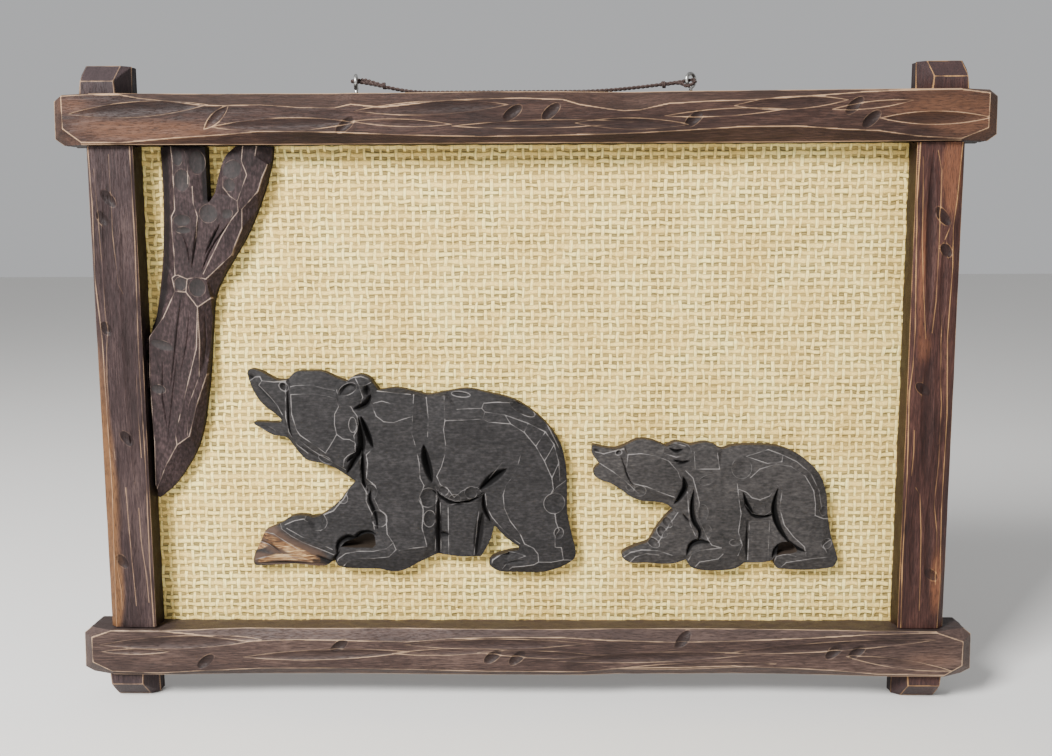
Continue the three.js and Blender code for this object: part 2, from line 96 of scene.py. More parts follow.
def add(material, kind, inputs=(), stops=(), **settings):
    """One shader node with its settings, and a colour ramp's stops as (position, sRGB hex).

    Inputs are named or given in turn. Each takes a value, another node or one of its outputs."""
    made = material.node_tree.nodes.new("ShaderNode" + kind)
    for name, value in settings.items():
        setattr(made, name, value)
    for i, (position, tint) in enumerate(stops):
        stop = made.color_ramp.elements[i] if i < 2 else made.color_ramp.elements.new(position)
        stop.position = position
        stop.color = linear(tint)
    in_turn = [socket for socket in made.inputs if socket.enabled]
    given = inputs if isinstance(inputs, dict) else dict(enumerate(inputs))
    for key, value in given.items():
        socket = made.inputs[key] if isinstance(key, str) else in_turn[key]
        if isinstance(value, bpy.types.Node):
            value = next(output for output in value.outputs if output.enabled)
        if isinstance(value, bpy.types.NodeSocket):
            material.node_tree.links.new(value, socket)
        else:
            socket.default_value = value
    return made


def new_material(name):
    """An empty material, and the position on the object as a socket."""
    material = bpy.data.materials.new(name)
    material.use_nodes = True
    material.node_tree.nodes.clear()
    return material, add(material, "TexCoord").outputs["Object"]


def finish(material, colour, roughness, height=None, bump=0.0, **constants):
    """The surface shader: a colour and a roughness, bump from a height in metres, and constants."""
    inputs = {"Base Color": colour, "Roughness": roughness}
    inputs.update({name.replace("_", " "): value for name, value in constants.items()})
    if height is not None:
        inputs["Normal"] = add(material, "Bump", {"Height": height, "Distance": bump, "Strength": 1.0})
    surface = add(material, "BsdfPrincipled", inputs)
    add(material, "OutputMaterial", {"Surface": surface})
    return material


def mesh_piece(name, points, faces, material, slot, crease=30):
    """A piece from points in millimetres. Edges sharper than the crease angle stay crisp."""
    mesh = bpy.data.meshes.new(name)
    mesh.from_pydata((np.asarray(points, float) * MM).tolist(), [], faces)
    mesh.shade_smooth()
    mesh.set_sharp_from_angle(angle=math.radians(crease))
    mesh.materials.append(material)
    piece = bpy.data.objects.new(name, mesh)
    bpy.context.collection.objects.link(piece)
    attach(piece, "root")
    return piece


def smooth(points, step):
    """Points about a step apart on a Catmull-Rom curve through the given ones, in any space."""
    given = np.asarray(points, float)
    given = np.vstack([given[:1], given, given[-1:]])
    runs = []
    for before, start, end, after in zip(given, given[1:], given[2:], given[3:]):
        count = max(1, round(np.linalg.norm(end - start) / step))
        t = (np.arange(count) / count)[:, None]
        leave, arrive = (end - before) / 2, (after - start) / 2
        cubic = 2 * start - 2 * end + leave + arrive
        square = -3 * start + 3 * end - 2 * leave - arrive
        runs.append(cubic * t ** 3 + square * t ** 2 + leave * t + start)
    return np.vstack(runs + [given[-1:]])


def tube(path, radius, sides=10):
    """Points and faces of a closed tube round a path. The radius may change along it."""
    path = np.asarray(path, float)
    radius = np.broadcast_to(radius, len(path))
    run = np.gradient(path, axis=0)
    run /= np.linalg.norm(run, axis=1)[:, None]
    across = np.cross(run, [0, 1, 0.01])
    across /= np.linalg.norm(across, axis=1)[:, None]
    other = np.cross(run, across)
    turn = 2 * math.pi * np.arange(sides) / sides
    ring = np.cos(turn)[:, None, None] * across + np.sin(turn)[:, None, None] * other
    points = (path + ring * radius[:, None]).transpose(1, 0, 2).reshape(-1, 3)
    faces = [list(range(sides)), list(range(len(points) - 1, len(points) - 1 - sides, -1))]
    for i in range(len(path) - 1):
        for k in range(sides):
            a, b = i * sides + k, i * sides + (k + 1) % sides
            faces.append([a + sides, b + sides, b, a])
    return points, faces


def joined(parts):
    """Several (points, faces) as one."""
    points, faces, start = [], [], 0
    for part_points, part_faces in parts:
        points.append(part_points)
        faces += [[i + start for i in face] for face in part_faces]
        start += len(part_points)
    return np.vstack(points), faces


def distances(path):
    """How far along a path each of its points is."""
    return np.r_[0, np.cumsum(np.linalg.norm(np.diff(path, axis=0), axis=1))]


def twine():
    """Dyed cotton twine: matt, mottled at the size of its fibres, with a paler fuzz."""
    material, place = new_material("dyed_twine")
    fibre = add(material, "TexNoise", {"Vector": place, "Scale": 1 / (0.35 * MM), "Detail": 3.0})
    colour = add(material, "ValToRGB", [fibre], [(0.3, "#1c1412"), (0.52, "#3a2c28"), (0.75, "#6b5c56")])
    return finish(material, colour, 0.85, fibre, 0.15 * MM, Specular_IOR_Level=0.25)


CURVE_STEP = 0.35
CORD = {"diameter": 1.9, "twist": 4.6, "yarn": 1.02, "spread": 0.45, "y": -7}
CORD_ROUTE = [
    [-86.2, 6.9], [-84.4, 6.7], [-80, 6.2], [-74, 5.1], [-68, 3.8], [-62, 2.6], [-56, 1.75],
    [-50, 1.35], [-44, 1.25], [-36, 1.25], [-26, 1.25], [-14, 1.25], [-2, 1.25], [10, 1.25],
    [20, 1.25], [28, 1.3], [36, 1.5], [44, 1.95], [52, 2.6], [60, 3.4], [68, 4.3], [76, 5.3],
    [82, 6.2], [84.4, 6.6], [86.2, 6.8],
]
rail_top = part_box("top_rail")[1].z / MM
route = smooth([[x, CORD["y"], rail_top + over] for x, over in CORD_ROUTE], CURVE_STEP)


def two_ply(line):
    """The two yarns of the cord: tubes that wind round its line."""
    tangent = np.gradient(line, axis=0)
    tangent /= np.linalg.norm(tangent, axis=1)[:, None]
    side = np.cross(tangent, [0, 1, 0])
    side /= np.linalg.norm(side, axis=1)[:, None]
    rise = np.cross(tangent, side)
    yarns = []
    for phase in (0, math.pi):
        turn = (2 * math.pi * distances(line) / CORD["twist"] + phase)[:, None]
        wound = line + CORD["spread"] * (np.cos(turn) * side + np.sin(turn) * rise)
        yarns.append(tube(wound, CORD["yarn"] / 2, 8))
    return yarns


cord_material = twine()
cord = mesh_piece("twisted_cord", *joined(two_ply(route)), cord_material, "cord", 60)
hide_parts("hanging_cord")
distances(route)[-1] * MM

# ---- Studio ----------------------------------------------------------------
# A pale floor under the plaque, a large soft box up to the left of the camera, a weak fill from
# the right, and an even pale surround.

FLOOR_REACH = 6000
floor_paint = finish(new_material("painted_floor")[0], linear("#e6e4e0"), 0.8)
low = cad_box[0].z / MM - 0.5
floor = mesh_piece("floor", [
    [-FLOOR_REACH, -FLOOR_REACH, low], [FLOOR_REACH, -FLOOR_REACH, low],
    [FLOOR_REACH, FLOOR_REACH, low], [-FLOOR_REACH, FLOOR_REACH, low],
], [[0, 1, 2, 3]], floor_paint, "backing_board")

world = bpy.data.worlds.new("surround")
bpy.context.scene.world = world
world.use_nodes = True
world.node_tree.nodes["Background"].inputs["Color"].default_value = linear("#e9eaec")
world.node_tree.nodes["Background"].inputs["Strength"].default_value = 0.6


def soft_box(name, place, aim, size, watts):
    """A square lamp that faces a point. Sizes are in metres."""
    lamp = bpy.data.objects.new(name, bpy.data.lights.new(name, "AREA"))
    lamp.data.size = size
    lamp.data.energy = watts
    lamp.location = place
    lamp.rotation_euler = (Vector(aim) - Vector(place)).to_track_quat("-Z", "Y").to_euler()
    bpy.context.collection.objects.link(lamp)


middle = (cad_box[0] + cad_box[1]) / 2
soft_box("key", (-0.8, -1.05, 0.75), middle, 0.5, 65)
soft_box("fill", (1.3, -1.4, 0.1), middle, 1.2, 5)

# ---- Backing board ---------------------------------------------------------
# A thin hardboard panel, smooth on its face and meshed on its back, cut to lie in the rebate
# behind the opening.


def weighed(material, *parts, start=0.0):
    """A sum of values on a surface, each times its weight, on top of a starting number."""
    total = start
    for value, weight in parts:
        total = add(material, "Math", [value, weight, total], operation="MULTIPLY_ADD")
    return total


def hardboard():
    """Pressed brown fibreboard: fine fibres every way and a faint mesh print, quite matt."""
    material, place = new_material("pressed_hardboard")
    fibre = add(material, "TexNoise", {"Vector": place, "Scale": 1 / (0.8 * MM), "Detail": 4.0})
    cloud = add(material, "TexNoise", {"Vector": place, "Scale": 1 / (45 * MM), "Detail": 2.0})
    both = weighed(material, (fibre, 0.5), (cloud, 0.5))
    colour = add(material, "ValToRGB", [both], [(0.3, "#5a3d28"), (0.5, "#7b5739"), (0.7, "#94704c")])
    mesh_print = add(material, "TexVoronoi", {"Vector": place, "Scale": 1 / (1.6 * MM)})
    return finish(material, colour, 0.8, mesh_print, 0.25 * MM)


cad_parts["backing_board"].data.materials.clear()
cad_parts["backing_board"].data.materials.append(hardboard())

# ---- Woven grasscloth ------------------------------------------------------
# Wide flat ribbons of twisted straw-coloured paper, laid across thin upright threads in a plain
# weave and glued over the board. Each ribbon dives under every second thread.

WEAVE = {"thread_pitch": 4.05, "ribbon_pitch": 3.9, "rise": 0.26}
SMOOTH = {"interpolation_type": "SMOOTHSTEP"}


def grasscloth():
    """Straw paper weave: dull cream ribbons, no two alike, with painted tan shade where they dive."""
    material, place = new_material("woven_grasscloth")
    node = partial(add, material)
    weave = node("Attribute", attribute_name="weave").outputs["Vector"]
    part = node("SeparateXYZ", [weave])
    column, row = part.outputs["X"], part.outputs["Y"]

    # which crossing this is, and how far from its middle
    column_at = node("Math", [column], operation="ROUND")
    row_at = node("Math", [row], operation="ROUND")
    side, rise = (
        node("Math", [weighed(material, (value, 1), (at, -1))], operation="ABSOLUTE")
        for value, at in ((column, column_at), (row, row_at))
    )
    odd = node("Math", [weighed(material, (column_at, 1), (row_at, 1)), 1.0], operation="PINGPONG")
    # an upright thread shows where it passes over, and a little way into the rows above and below
    over = node("Math", [odd, 0.5], operation="GREATER_THAN")
    peeping = node("Math", [rise, 0.3], operation="GREATER_THAN")
    seen = node("Math", [over, peeping], operation="MAXIMUM")
    within_thread = node("Math", [side, 0.17], operation="LESS_THAN")
    thread = node("Math", [within_thread, seen], operation="MULTIPLY")
    ribbon = weighed(material, (thread, -1), start=1)
    # painted shade in the gap between ribbons, and where a thread dives beside a ribbon
    edge = node("MapRange", [rise, 0.15, 0.34], **SMOOTH)
    bottom = node("MapRange", [rise, 0.38, 0.5], **SMOOTH)
    gap = node("Math", [weighed(material, (edge, 1), (bottom, -0.3)), ribbon], operation="MULTIPLY")
    beside_it = node("MapRange", [side, 0.19, 0.34, 1, 0], **SMOOTH)
    deeper = node("MapRange", [rise, 0.1, 0.42, 0.45, 1], **SMOOTH)
    shade_beside_thread = beside_it
    for share in (deeper, ribbon, seen):
        shade_beside_thread = node("Math", [shade_beside_thread, share], operation="MULTIPLY")
    # each float has its own tone: it is centred on a crossing that the ribbon passes over
    float_at = node("Math", [weighed(material, (column, 0.5), (row_at, 0.5))], operation="ROUND")
    own = node("CombineXYZ", [float_at, row_at, thread])
    tone = node("TexWhiteNoise", [own])
    # fibres along each strand
    along = node("Mapping", {"Vector": weave, "Scale": (3, 34, 1)})
    upright = node("Mapping", {"Vector": weave, "Scale": (34, 3, 1)})
    lie = node("Mix", [thread, along, upright], data_type="VECTOR")
    fibre = node("TexNoise", {"Vector": lie, "Scale": 1.0, "Detail": 3.0})
    cloud = node("TexNoise", {"Vector": place, "Scale": 1 / (26 * MM), "Detail": 3.0})
    bright = weighed(material, (tone, 0.12), (fibre, 0.86), (cloud, 0.3), (thread, 0.06), start=-0.15)
    straw = node("ValToRGB", [bright], [(0.26, "#b39650"), (0.48, "#f2cf78"), (0.64, "#ffee9a")])
    patchy = node("MapRange", [tone, 0, 1, 0.55, 1.0])
    painted_weave_shade = node("Math", [weighed(material, (gap, 0.9)), shade_beside_thread], operation="MAXIMUM")
    painted_weave_shade = node("Math", [painted_weave_shade, patchy], operation="MULTIPLY")
    # the painted shade mixes the straw towards dark brown
    colour = node("Mix", [painted_weave_shade, straw, linear("#4a3a1a")], data_type="RGBA")
    lift = weighed(material, (fibre, 0.25), (painted_weave_shade, -1), (thread, 0.6))
    return finish(material, colour, 0.82, lift, 0.45 * MM, Specular_IOR_Level=0.3)


cloth_low, cloth_high = (np.array(c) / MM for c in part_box("woven_cloth"))
columns = math.floor((cloth_high[0] - cloth_low[0]) / WEAVE["thread_pitch"])
rows = math.floor((cloth_high[2] - cloth_low[2]) / WEAVE["ribbon_pitch"])
thread_pitch = (cloth_high[0] - cloth_low[0]) / columns
ribbon_pitch = (cloth_high[2] - cloth_low[2]) / rows
# places across one crossing: both sides of the thread, its middle, and half way to the next
u = np.add.outer(np.arange(columns), [-0.5, -0.19, 0, 0.19]).ravel()[2:]
v = np.add.outer(np.arange(rows), [-0.5, -0.34, 0.34]).ravel()[1:]
u, v = np.meshgrid(u, v)
crossing = 2 * ((np.round(u) + np.round(v)) % 2) - 1
on_thread = np.abs(u - np.round(u)) < 0.25
sunk = np.abs(v - np.round(v)) > 0.45
lift = WEAVE["rise"] * np.where(on_thread, crossing * 0.55, 0.1) - np.where(sunk, 0.28, 0)
lift += np.where(on_thread & (crossing > 0), 0.12, 0)
wander = np.array([[noise((a * 0.8, b * 0.5, 3)), noise((a * 0.7, b * 0.9, 9)), noise((a * 1.9, b * 1.3, 5))]
                   for a, b in zip(u.ravel(), v.ravel())])
cloth_points = np.c_[
    cloth_low[0] + (u.ravel() + 0.5 + 0.26 * wander[:, 0]).clip(0, columns) * thread_pitch,
    cloth_low[1] + 0.1 - lift.ravel() - 0.12 * wander[:, 2],
    cloth_low[2] + (v.ravel() + 0.5 + 0.24 * wander[:, 1]).clip(0, rows) * ribbon_pitch,
]
wide = u.shape[1]
first = np.add.outer(np.arange(u.shape[0] - 1) * wide, np.arange(wide - 1)).ravel()
cloth_faces = np.c_[first, first + 1, first + 1 + wide, first + wide].tolist()
cloth = mesh_piece("grasscloth", cloth_points, cloth_faces, grasscloth(), "woven_cloth", 70)
weave = cloth.data.attributes.new("weave", "FLOAT_VECTOR", "POINT")
weave.data.foreach_set("vector", np.c_[u.ravel(), v.ravel(), np.zeros(u.size)].ravel())
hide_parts("woven_cloth")

# ---- Frame -----------------------------------------------------------------
# Four members hewn from softwood with a drawknife and gouge, half lapped and glued at the
# corners, stained dark walnut, then rubbed back so that arrises and high places turn pale.

CELL = 0.55  # size of a triangle on a carved face, fine enough for a crisp arris
LINE = 0.3  # half width of the pale line that rubbing leaves along an arris
CREASE = 24  # degrees between two facets from which their arris stays crisp


def chain(points):
    """Points about a cell apart on straight lines between the given ones."""
    given = np.asarray(points, float)
    runs = []
    for start, end in zip(given, given[1:]):
        count = max(1, math.ceil(np.linalg.norm(end - start) / CELL))
        runs.append(start + (np.arange(count) / count)[:, None] * (end - start))
    return np.vstack(runs + [given[-1:]])


def closed(runs):
    """A closed outline, anticlockwise, from runs of smooth curve that meet at corners."""
    curves = [smooth(run, CELL) for run in runs]
    joins = [chain([one[-1], other[0]]) for one, other in zip(curves, curves[1:] + curves[:1])]
    points = np.vstack([part for pair in zip(curves, joins) for part in pair])
    points = points[np.linalg.norm(points - np.roll(points, 1, axis=0), axis=1) > 0.2 * CELL]
    x, z = points.T
    return points if x @ np.roll(z, -1) > z @ np.roll(x, -1) else points[::-1]


def beside(path, x, z, reach=None):
    """How far points are from a path, and how far along it from 0 to 1 the nearest place is.

    With a reach, points further than that from the path's box are only said to be far away."""
    path = np.asarray(path, float)
    if reach:
        low, high = path.min(axis=0) - reach, path.max(axis=0) + reach
        near = (x > low[0]) & (x < high[0]) & (z > low[1]) & (z < high[1])
        away, along = np.full(len(x), 1e9), np.zeros(len(x))
        away[near], along[near] = beside(path, x[near], z[near])
        return away, along
    lengths = np.linalg.norm(np.diff(path, axis=0), axis=1)
    before = distances(path)
    away, along = np.full(len(x), 1e9), np.zeros(len(x))
    for start, end, length, gone in zip(path, path[1:], lengths, before):
        run = (end - start) / length
        t = ((x - start[0]) * run[0] + (z - start[1]) * run[1]).clip(0, length)
        off = np.hypot(x - start[0] - t * run[0], z - start[1] - t * run[1])
        closer = off < away
        away[closer], along[closer] = off[closer], (gone + t[closer]) / before[-1]
    return away, along


def triangles(points, loops, lines=()):
    """Triangles that join points inside the first loop and outside the others. Lines are kept."""
    coords, edges, faces = list(map(Vector, points)), [], []
    for ring in loops:
        faces.append(list(range(len(coords), len(coords) + len(ring))))
        coords += map(Vector, ring)
    for line in lines:
        edges += [(i, i + 1) for i in range(len(coords), len(coords) + len(line) - 1)]
        coords += map(Vector, line)
    made, _, found, from_points, _, inside = delaunay_2d_cdt(coords, edges, faces, 0, 1e-4)
    kept = [list(face) for face, loop in zip(found, inside) if loop == [0] or not loops]
    return np.array([tuple(p) for p in made]), kept, from_points


def facet_heights(facets, x, z):
    """Heights of points on a net of flat facets between arrises, each a list of x, z, height."""
    given = np.vstack(facets)
    nodes, faces, sources = triangles([], [], [np.asarray(line)[:, :2] for line in facets])
    tops = np.zeros(len(nodes))
    for i, source in enumerate(sources):
        if source:
            tops[i] = given[source, 2].mean()
            continue
        # two arrises cross here: take the height of the nearer one
        near = [(*beside(np.asarray(line)[:, :2], *nodes[i:i + 1].T), line) for line in facets]
        _, along, line = min(near, key=lambda found: found[0][0])
        line = np.asarray(line, float)
        run = distances(line[:, :2])
        tops[i] = np.interp(along[0] * run[-1], run, line[:, 2])
    best, height = np.full(len(x), -1e9), np.zeros(len(x))
    for a, b, c in faces:
        (ax, az), (bx, bz), (cx, cz) = nodes[[a, b, c]]
        area = (bx - ax) * (cz - az) - (cx - ax) * (bz - az)
        if abs(area) < 1e-3:
            continue
        first = ((bx - x) * (cz - z) - (cx - x) * (bz - z)) / area
        second = ((cx - x) * (az - z) - (ax - x) * (cz - z)) / area
        third = 1 - first - second
        inside = np.minimum(np.minimum(first, second), third)
        better = inside > best
        best[better] = inside[better]
        height[better] = (first * tops[a] + second * tops[b] + third * tops[c])[better]
    return height


def bite(x, z, at, length, width, angle, depth, leaf):
    """Depth of one gouge bite: an oval bowl, or a long leaf with pointed ends."""
    turn = math.radians(angle)
    dx, dz = x - at[0], z - at[1]
    u = (dx * math.cos(turn) + dz * math.sin(turn)) / (length / 2)
    v = (dz * math.cos(turn) - dx * math.sin(turn)) / (width / 2)
    taper = (1 - u * u).clip(1e-3, None)
    bowl = taper - v * v / (taper if leaf else 1)
    return depth * bowl.clip(0, None)


def bite_rim(at, length, width, angle, leaf):
    """The edge that a bite leaves on a flat face."""
    turn = 2 * math.pi * np.arange(49) / 48
    u = np.cos(turn)
    v = np.sin(turn) * (np.abs(np.sin(turn)) if leaf else 1)
    tilt = math.radians(angle)
    x, z = u * length / 2, v * width / 2
    cos, sin = math.cos(tilt), math.sin(tilt)
    return np.c_[at[0] + x * cos - z * sin, at[1] + x * sin + z * cos]


def knife_taper(along):
    """Width of a knife cut along its length: pointed at both ends."""
    return 0.1 + 0.9 * np.sin(math.pi * along).clip(0, None) ** 0.6


def loops_from(edges):
    """Closed loops of vertices from directed edges."""
    follow, loops = dict(edges), []
    while follow:
        start, at = follow.popitem()
        loop = [start]
        while at != start:
            loop.append(at)
            at = follow.pop(at)
        loops.append(loop)
    return loops


def carve(name, runs, facets, back, material, slot, ovals=(), leaves=(), cuts=(), holes=(), rims=None,
          grain="X", waves=0.1, wall_waves=0.0, wall_rows=4, rim_line=0.8, leaf_line=0.9):
    """A piece carved on its front: an outline, flat facets between arrises, bites and knife cuts.

    back is the y of its flat back. Rims are the heights of the outline's runs. Ovals and leaves are
    (x, z, length, width, angle, depth), and cuts are (path, width, depth). Waves are tool marks."""
    edge = closed(runs)
    rings = [edge] + [closed(hole) for hole in holes]
    bites = [((x, z), *size, False) for x, z, *size in ovals]
    bites += [((x, z), *size, True) for x, z, *size in leaves]
    paths = [(smooth(path, CELL), width, depth) for path, width, depth in cuts]
    lines = [chain([p[:2] for p in arris]) for arris in facets] + [path for path, _, _ in paths]
    lines += [bite_rim(at, length, width, angle, leaf) for at, length, width, angle, _, leaf in bites]
    fixed = np.vstack(rings + lines)
    tree = KDTree(len(fixed))
    for i, (x, z) in enumerate(fixed):
        tree.insert((x, z, 0), i)
    tree.balance()
    low, high = edge.min(axis=0), edge.max(axis=0)
    grid = np.stack(np.meshgrid(np.arange(low[0], high[0], CELL), np.arange(low[1], high[1], CELL)), -1)
    grid[1::2, :, 0] += CELL / 2
    free = [p for p in grid.reshape(-1, 2) if tree.find((*p, 0))[2] > 0.4 * CELL]
    flat, faces, _ = triangles(free, rings, lines)
    used = sorted({i for face in faces for i in face})
    place = {old: new for new, old in enumerate(used)}
    flat, faces = flat[used], [[place[i] for i in face] for face in faces]

    x, z = flat.T
    ring = [(*p, rim) for run, rim in zip(runs, rims or []) for p in run]
    ring = [p for p, last in zip(ring, ring[-1:] + ring) if p[:2] != last[:2]]
    height = facet_heights(facets + ([ring + ring[:1]] if ring else []), x, z)
    dug = np.zeros(len(x))
    for at, length, width, angle, depth, leaf in bites:
        dug = np.maximum(dug, bite(x, z, at, length, width, angle, depth, leaf))
    cut_depth = np.zeros(len(x))
    for path, width, depth in paths:
        away, along = beside(path, x, z, width)
        narrow = knife_taper(along)
        cut_depth = np.maximum(cut_depth, depth * narrow * (1 - away / (width / 2 * narrow)).clip(0, None))
    drawn, scored, knot = np.zeros(len(x)), np.full(len(x), 1e9), np.zeros(len(x))
    for arris in facets:
        away, _ = beside(np.asarray(arris)[:, :2], x, z, 2)
        drawn = np.maximum(drawn, np.exp(-(away / LINE) ** 2))
    for at, length, width, angle, depth, leaf in bites:
        away, _ = beside(bite_rim(at, length, width, angle, leaf), x, z, 2)
        drawn = np.maximum(drawn, (leaf_line if leaf else rim_line) * np.exp(-(away / LINE) ** 2))
        if not leaf:
            knot = np.maximum(knot, bite(x, z, at, length, width, angle, 1, False))
    for path, width, _ in paths:
        scored = np.minimum(scored, beside(path, x, z, 3)[0] - width / 2)
    long, short = (14, 2.6) if grain == "X" else (2.6, 14)
    tool = np.array([noise((a / long, b / short, len(name))) for a, b in flat])
    height = (height - np.maximum(dug, cut_depth) + waves * tool).clip(2, None)

    # walls go from the front's own border down to the back, which has no points of its own
    sides = {(a, b) for face in faces for a, b in zip(face, face[1:] + face[:1])}
    border = loops_from((a, b) for a, b in sides if (b, a) not in sides)
    outward = np.zeros_like(flat)
    for loop in border:
        run = np.roll(flat[loop], -1, axis=0) - np.roll(flat[loop], 1, axis=0)
        outward[loop] = np.c_[run[:, 1], -run[:, 0]] / np.linalg.norm(run, axis=1)[:, None]
    rim = [i for loop in border for i in loop]
    spot = {i: k for k, i in enumerate(rim)}
    points = [np.c_[x, back - height, z]]
    levels = np.r_[0.5, np.linspace(1.5, height[rim].max(), wall_rows)]
    for row, level in enumerate(levels):
        share = level / levels[-1]
        left = height[rim] * (1 - share) if row else height[rim] - 0.5
        swell = np.array([noise((*(flat[i] / 7), left[k] / 3)) for k, i in enumerate(rim)]) * wall_waves
        moved = flat[rim] + outward[rim] * (swell - wall_waves / 2)[:, None] * (row < wall_rows)
        points.append(np.c_[moved[:, 0], back - left, moved[:, 1]])
    for row in range(wall_rows + 1):
        start = len(x) + row * len(rim)
        for a, b in ((a, b) for loop in border for a, b in zip(loop, loop[1:] + loop[:1])):
            high_a, high_b = (a, b) if row == 0 else (start - len(rim) + spot[a], start - len(rim) + spot[b])
            faces.append([high_a, start + spot[a], start + spot[b], high_b])
    base = len(x) + wall_rows * len(rim)
    ordered = sorted(border, key=lambda loop: -np.ptp(flat[loop][:, 0]))
    _, closing, from_points = triangles([], [flat[loop] for loop in ordered])
    order = [i for loop in ordered for i in loop]
    faces += [[base + spot[order[from_points[i][0]]] for i in reversed(face)] for face in closing]

    # what the material reads: the front's own values, and none of them on the walls
    piece = mesh_piece(name, np.vstack(points), faces, material, slot, CREASE)
    behind = np.zeros(len(piece.data.vertices) - len(x))
    for held, values in (("cut", cut_depth), ("dug", dug), ("knot", knot), ("line", drawn)):
        set_values(piece, held, np.r_[values, behind])
    set_values(piece, "wall", np.r_[np.zeros(len(x)), behind + 1])
    clear = np.r_[(scored / 0.8).clip(0.15, 1), behind + 1]
    set_values(piece, "wear", arris_wear(piece) * clear)
    return piece


def set_values(piece, name, values):
    """A number on every vertex of a piece, for its material to read."""
    held = piece.data.attributes.new(name, "FLOAT", "POINT")
    held.data.foreach_set("value", np.asarray(values, np.float32))


def vertex_places(piece):
    """Where a piece's vertices are, and their normals."""
    vertices = piece.data.vertices
    return np.array([v.co for v in vertices]) / MM, np.array([v.normal for v in vertices])


def arris_wear(piece):
    """How far each vertex stands out from its neighbours: 0 on a flat, towards 1 on an arris."""
    place, normal = vertex_places(piece)
    count = len(place)
    a, b = np.array([edge.vertices[:] for edge in piece.data.edges]).T
    gap = place[b] - place[a]
    length = np.linalg.norm(gap, axis=1).clip(0.05, None)
    sharp, worst = np.zeros(count), np.zeros(count)
    for start, end, sign in ((a, b, 1), (b, a, -1)):
        drop = -sign * (gap * normal[start]).sum(axis=1) / length
        np.add.at(sharp, start, drop)
        np.add.at(worst, start, 1)
    bend = (sharp / worst.clip(1, None)).clip(0, None)
    spread = bend.copy()
    np.maximum.at(spread, a, 0.45 * bend[b])
    np.maximum.at(spread, b, 0.45 * bend[a])
    return (spread * 5).clip(0, 1)


def saw_out(piece, *blocks):
    """Cuts blocks out of a piece, each given by its lowest and highest corner."""
    corners = [(0, 0, 0), (1, 0, 0), (1, 1, 0), (0, 1, 0), (0, 0, 1), (1, 0, 1), (1, 1, 1), (0, 1, 1)]
    sides = [[0, 3, 2, 1], [4, 5, 6, 7], [0, 1, 5, 4], [1, 2, 6, 5], [2, 3, 7, 6], [3, 0, 4, 7]]
    parts = [(np.asarray(low) + np.array(corners) * (np.asarray(high) - low), sides) for low, high in blocks]
    points, faces = joined(parts)
    tool = bpy.data.objects.new("saw", bpy.data.meshes.new("saw"))
    tool.data.from_pydata((points * MM).tolist(), [], faces)
    bpy.context.collection.objects.link(tool)
    cut = piece.modifiers.new("saw", "BOOLEAN")
    cut.object, cut.operation, cut.solver = tool, "DIFFERENCE", "MANIFOLD"
    evaluated = piece.evaluated_get(bpy.context.evaluated_depsgraph_get())
    made = bpy.data.meshes.new_from_object(evaluated)
    piece.modifiers.clear()
    piece.data = made
    bpy.data.objects.remove(tool)


def streaks(material, place, run, along, across, detail, rough=0.5):
    """Noise drawn out along the grain, from a streak's length and width in millimetres."""
    stretch = across / along
    scale = (stretch, 1, 1) if run == "X" else (1, 1, stretch)
    drawn_out = add(material, "Mapping", {"Vector": place, "Scale": scale})
    return add(material, "TexNoise", {
        "Vector": drawn_out, "Scale": 1 / (across * MM), "Detail": detail, "Roughness": rough,
    })


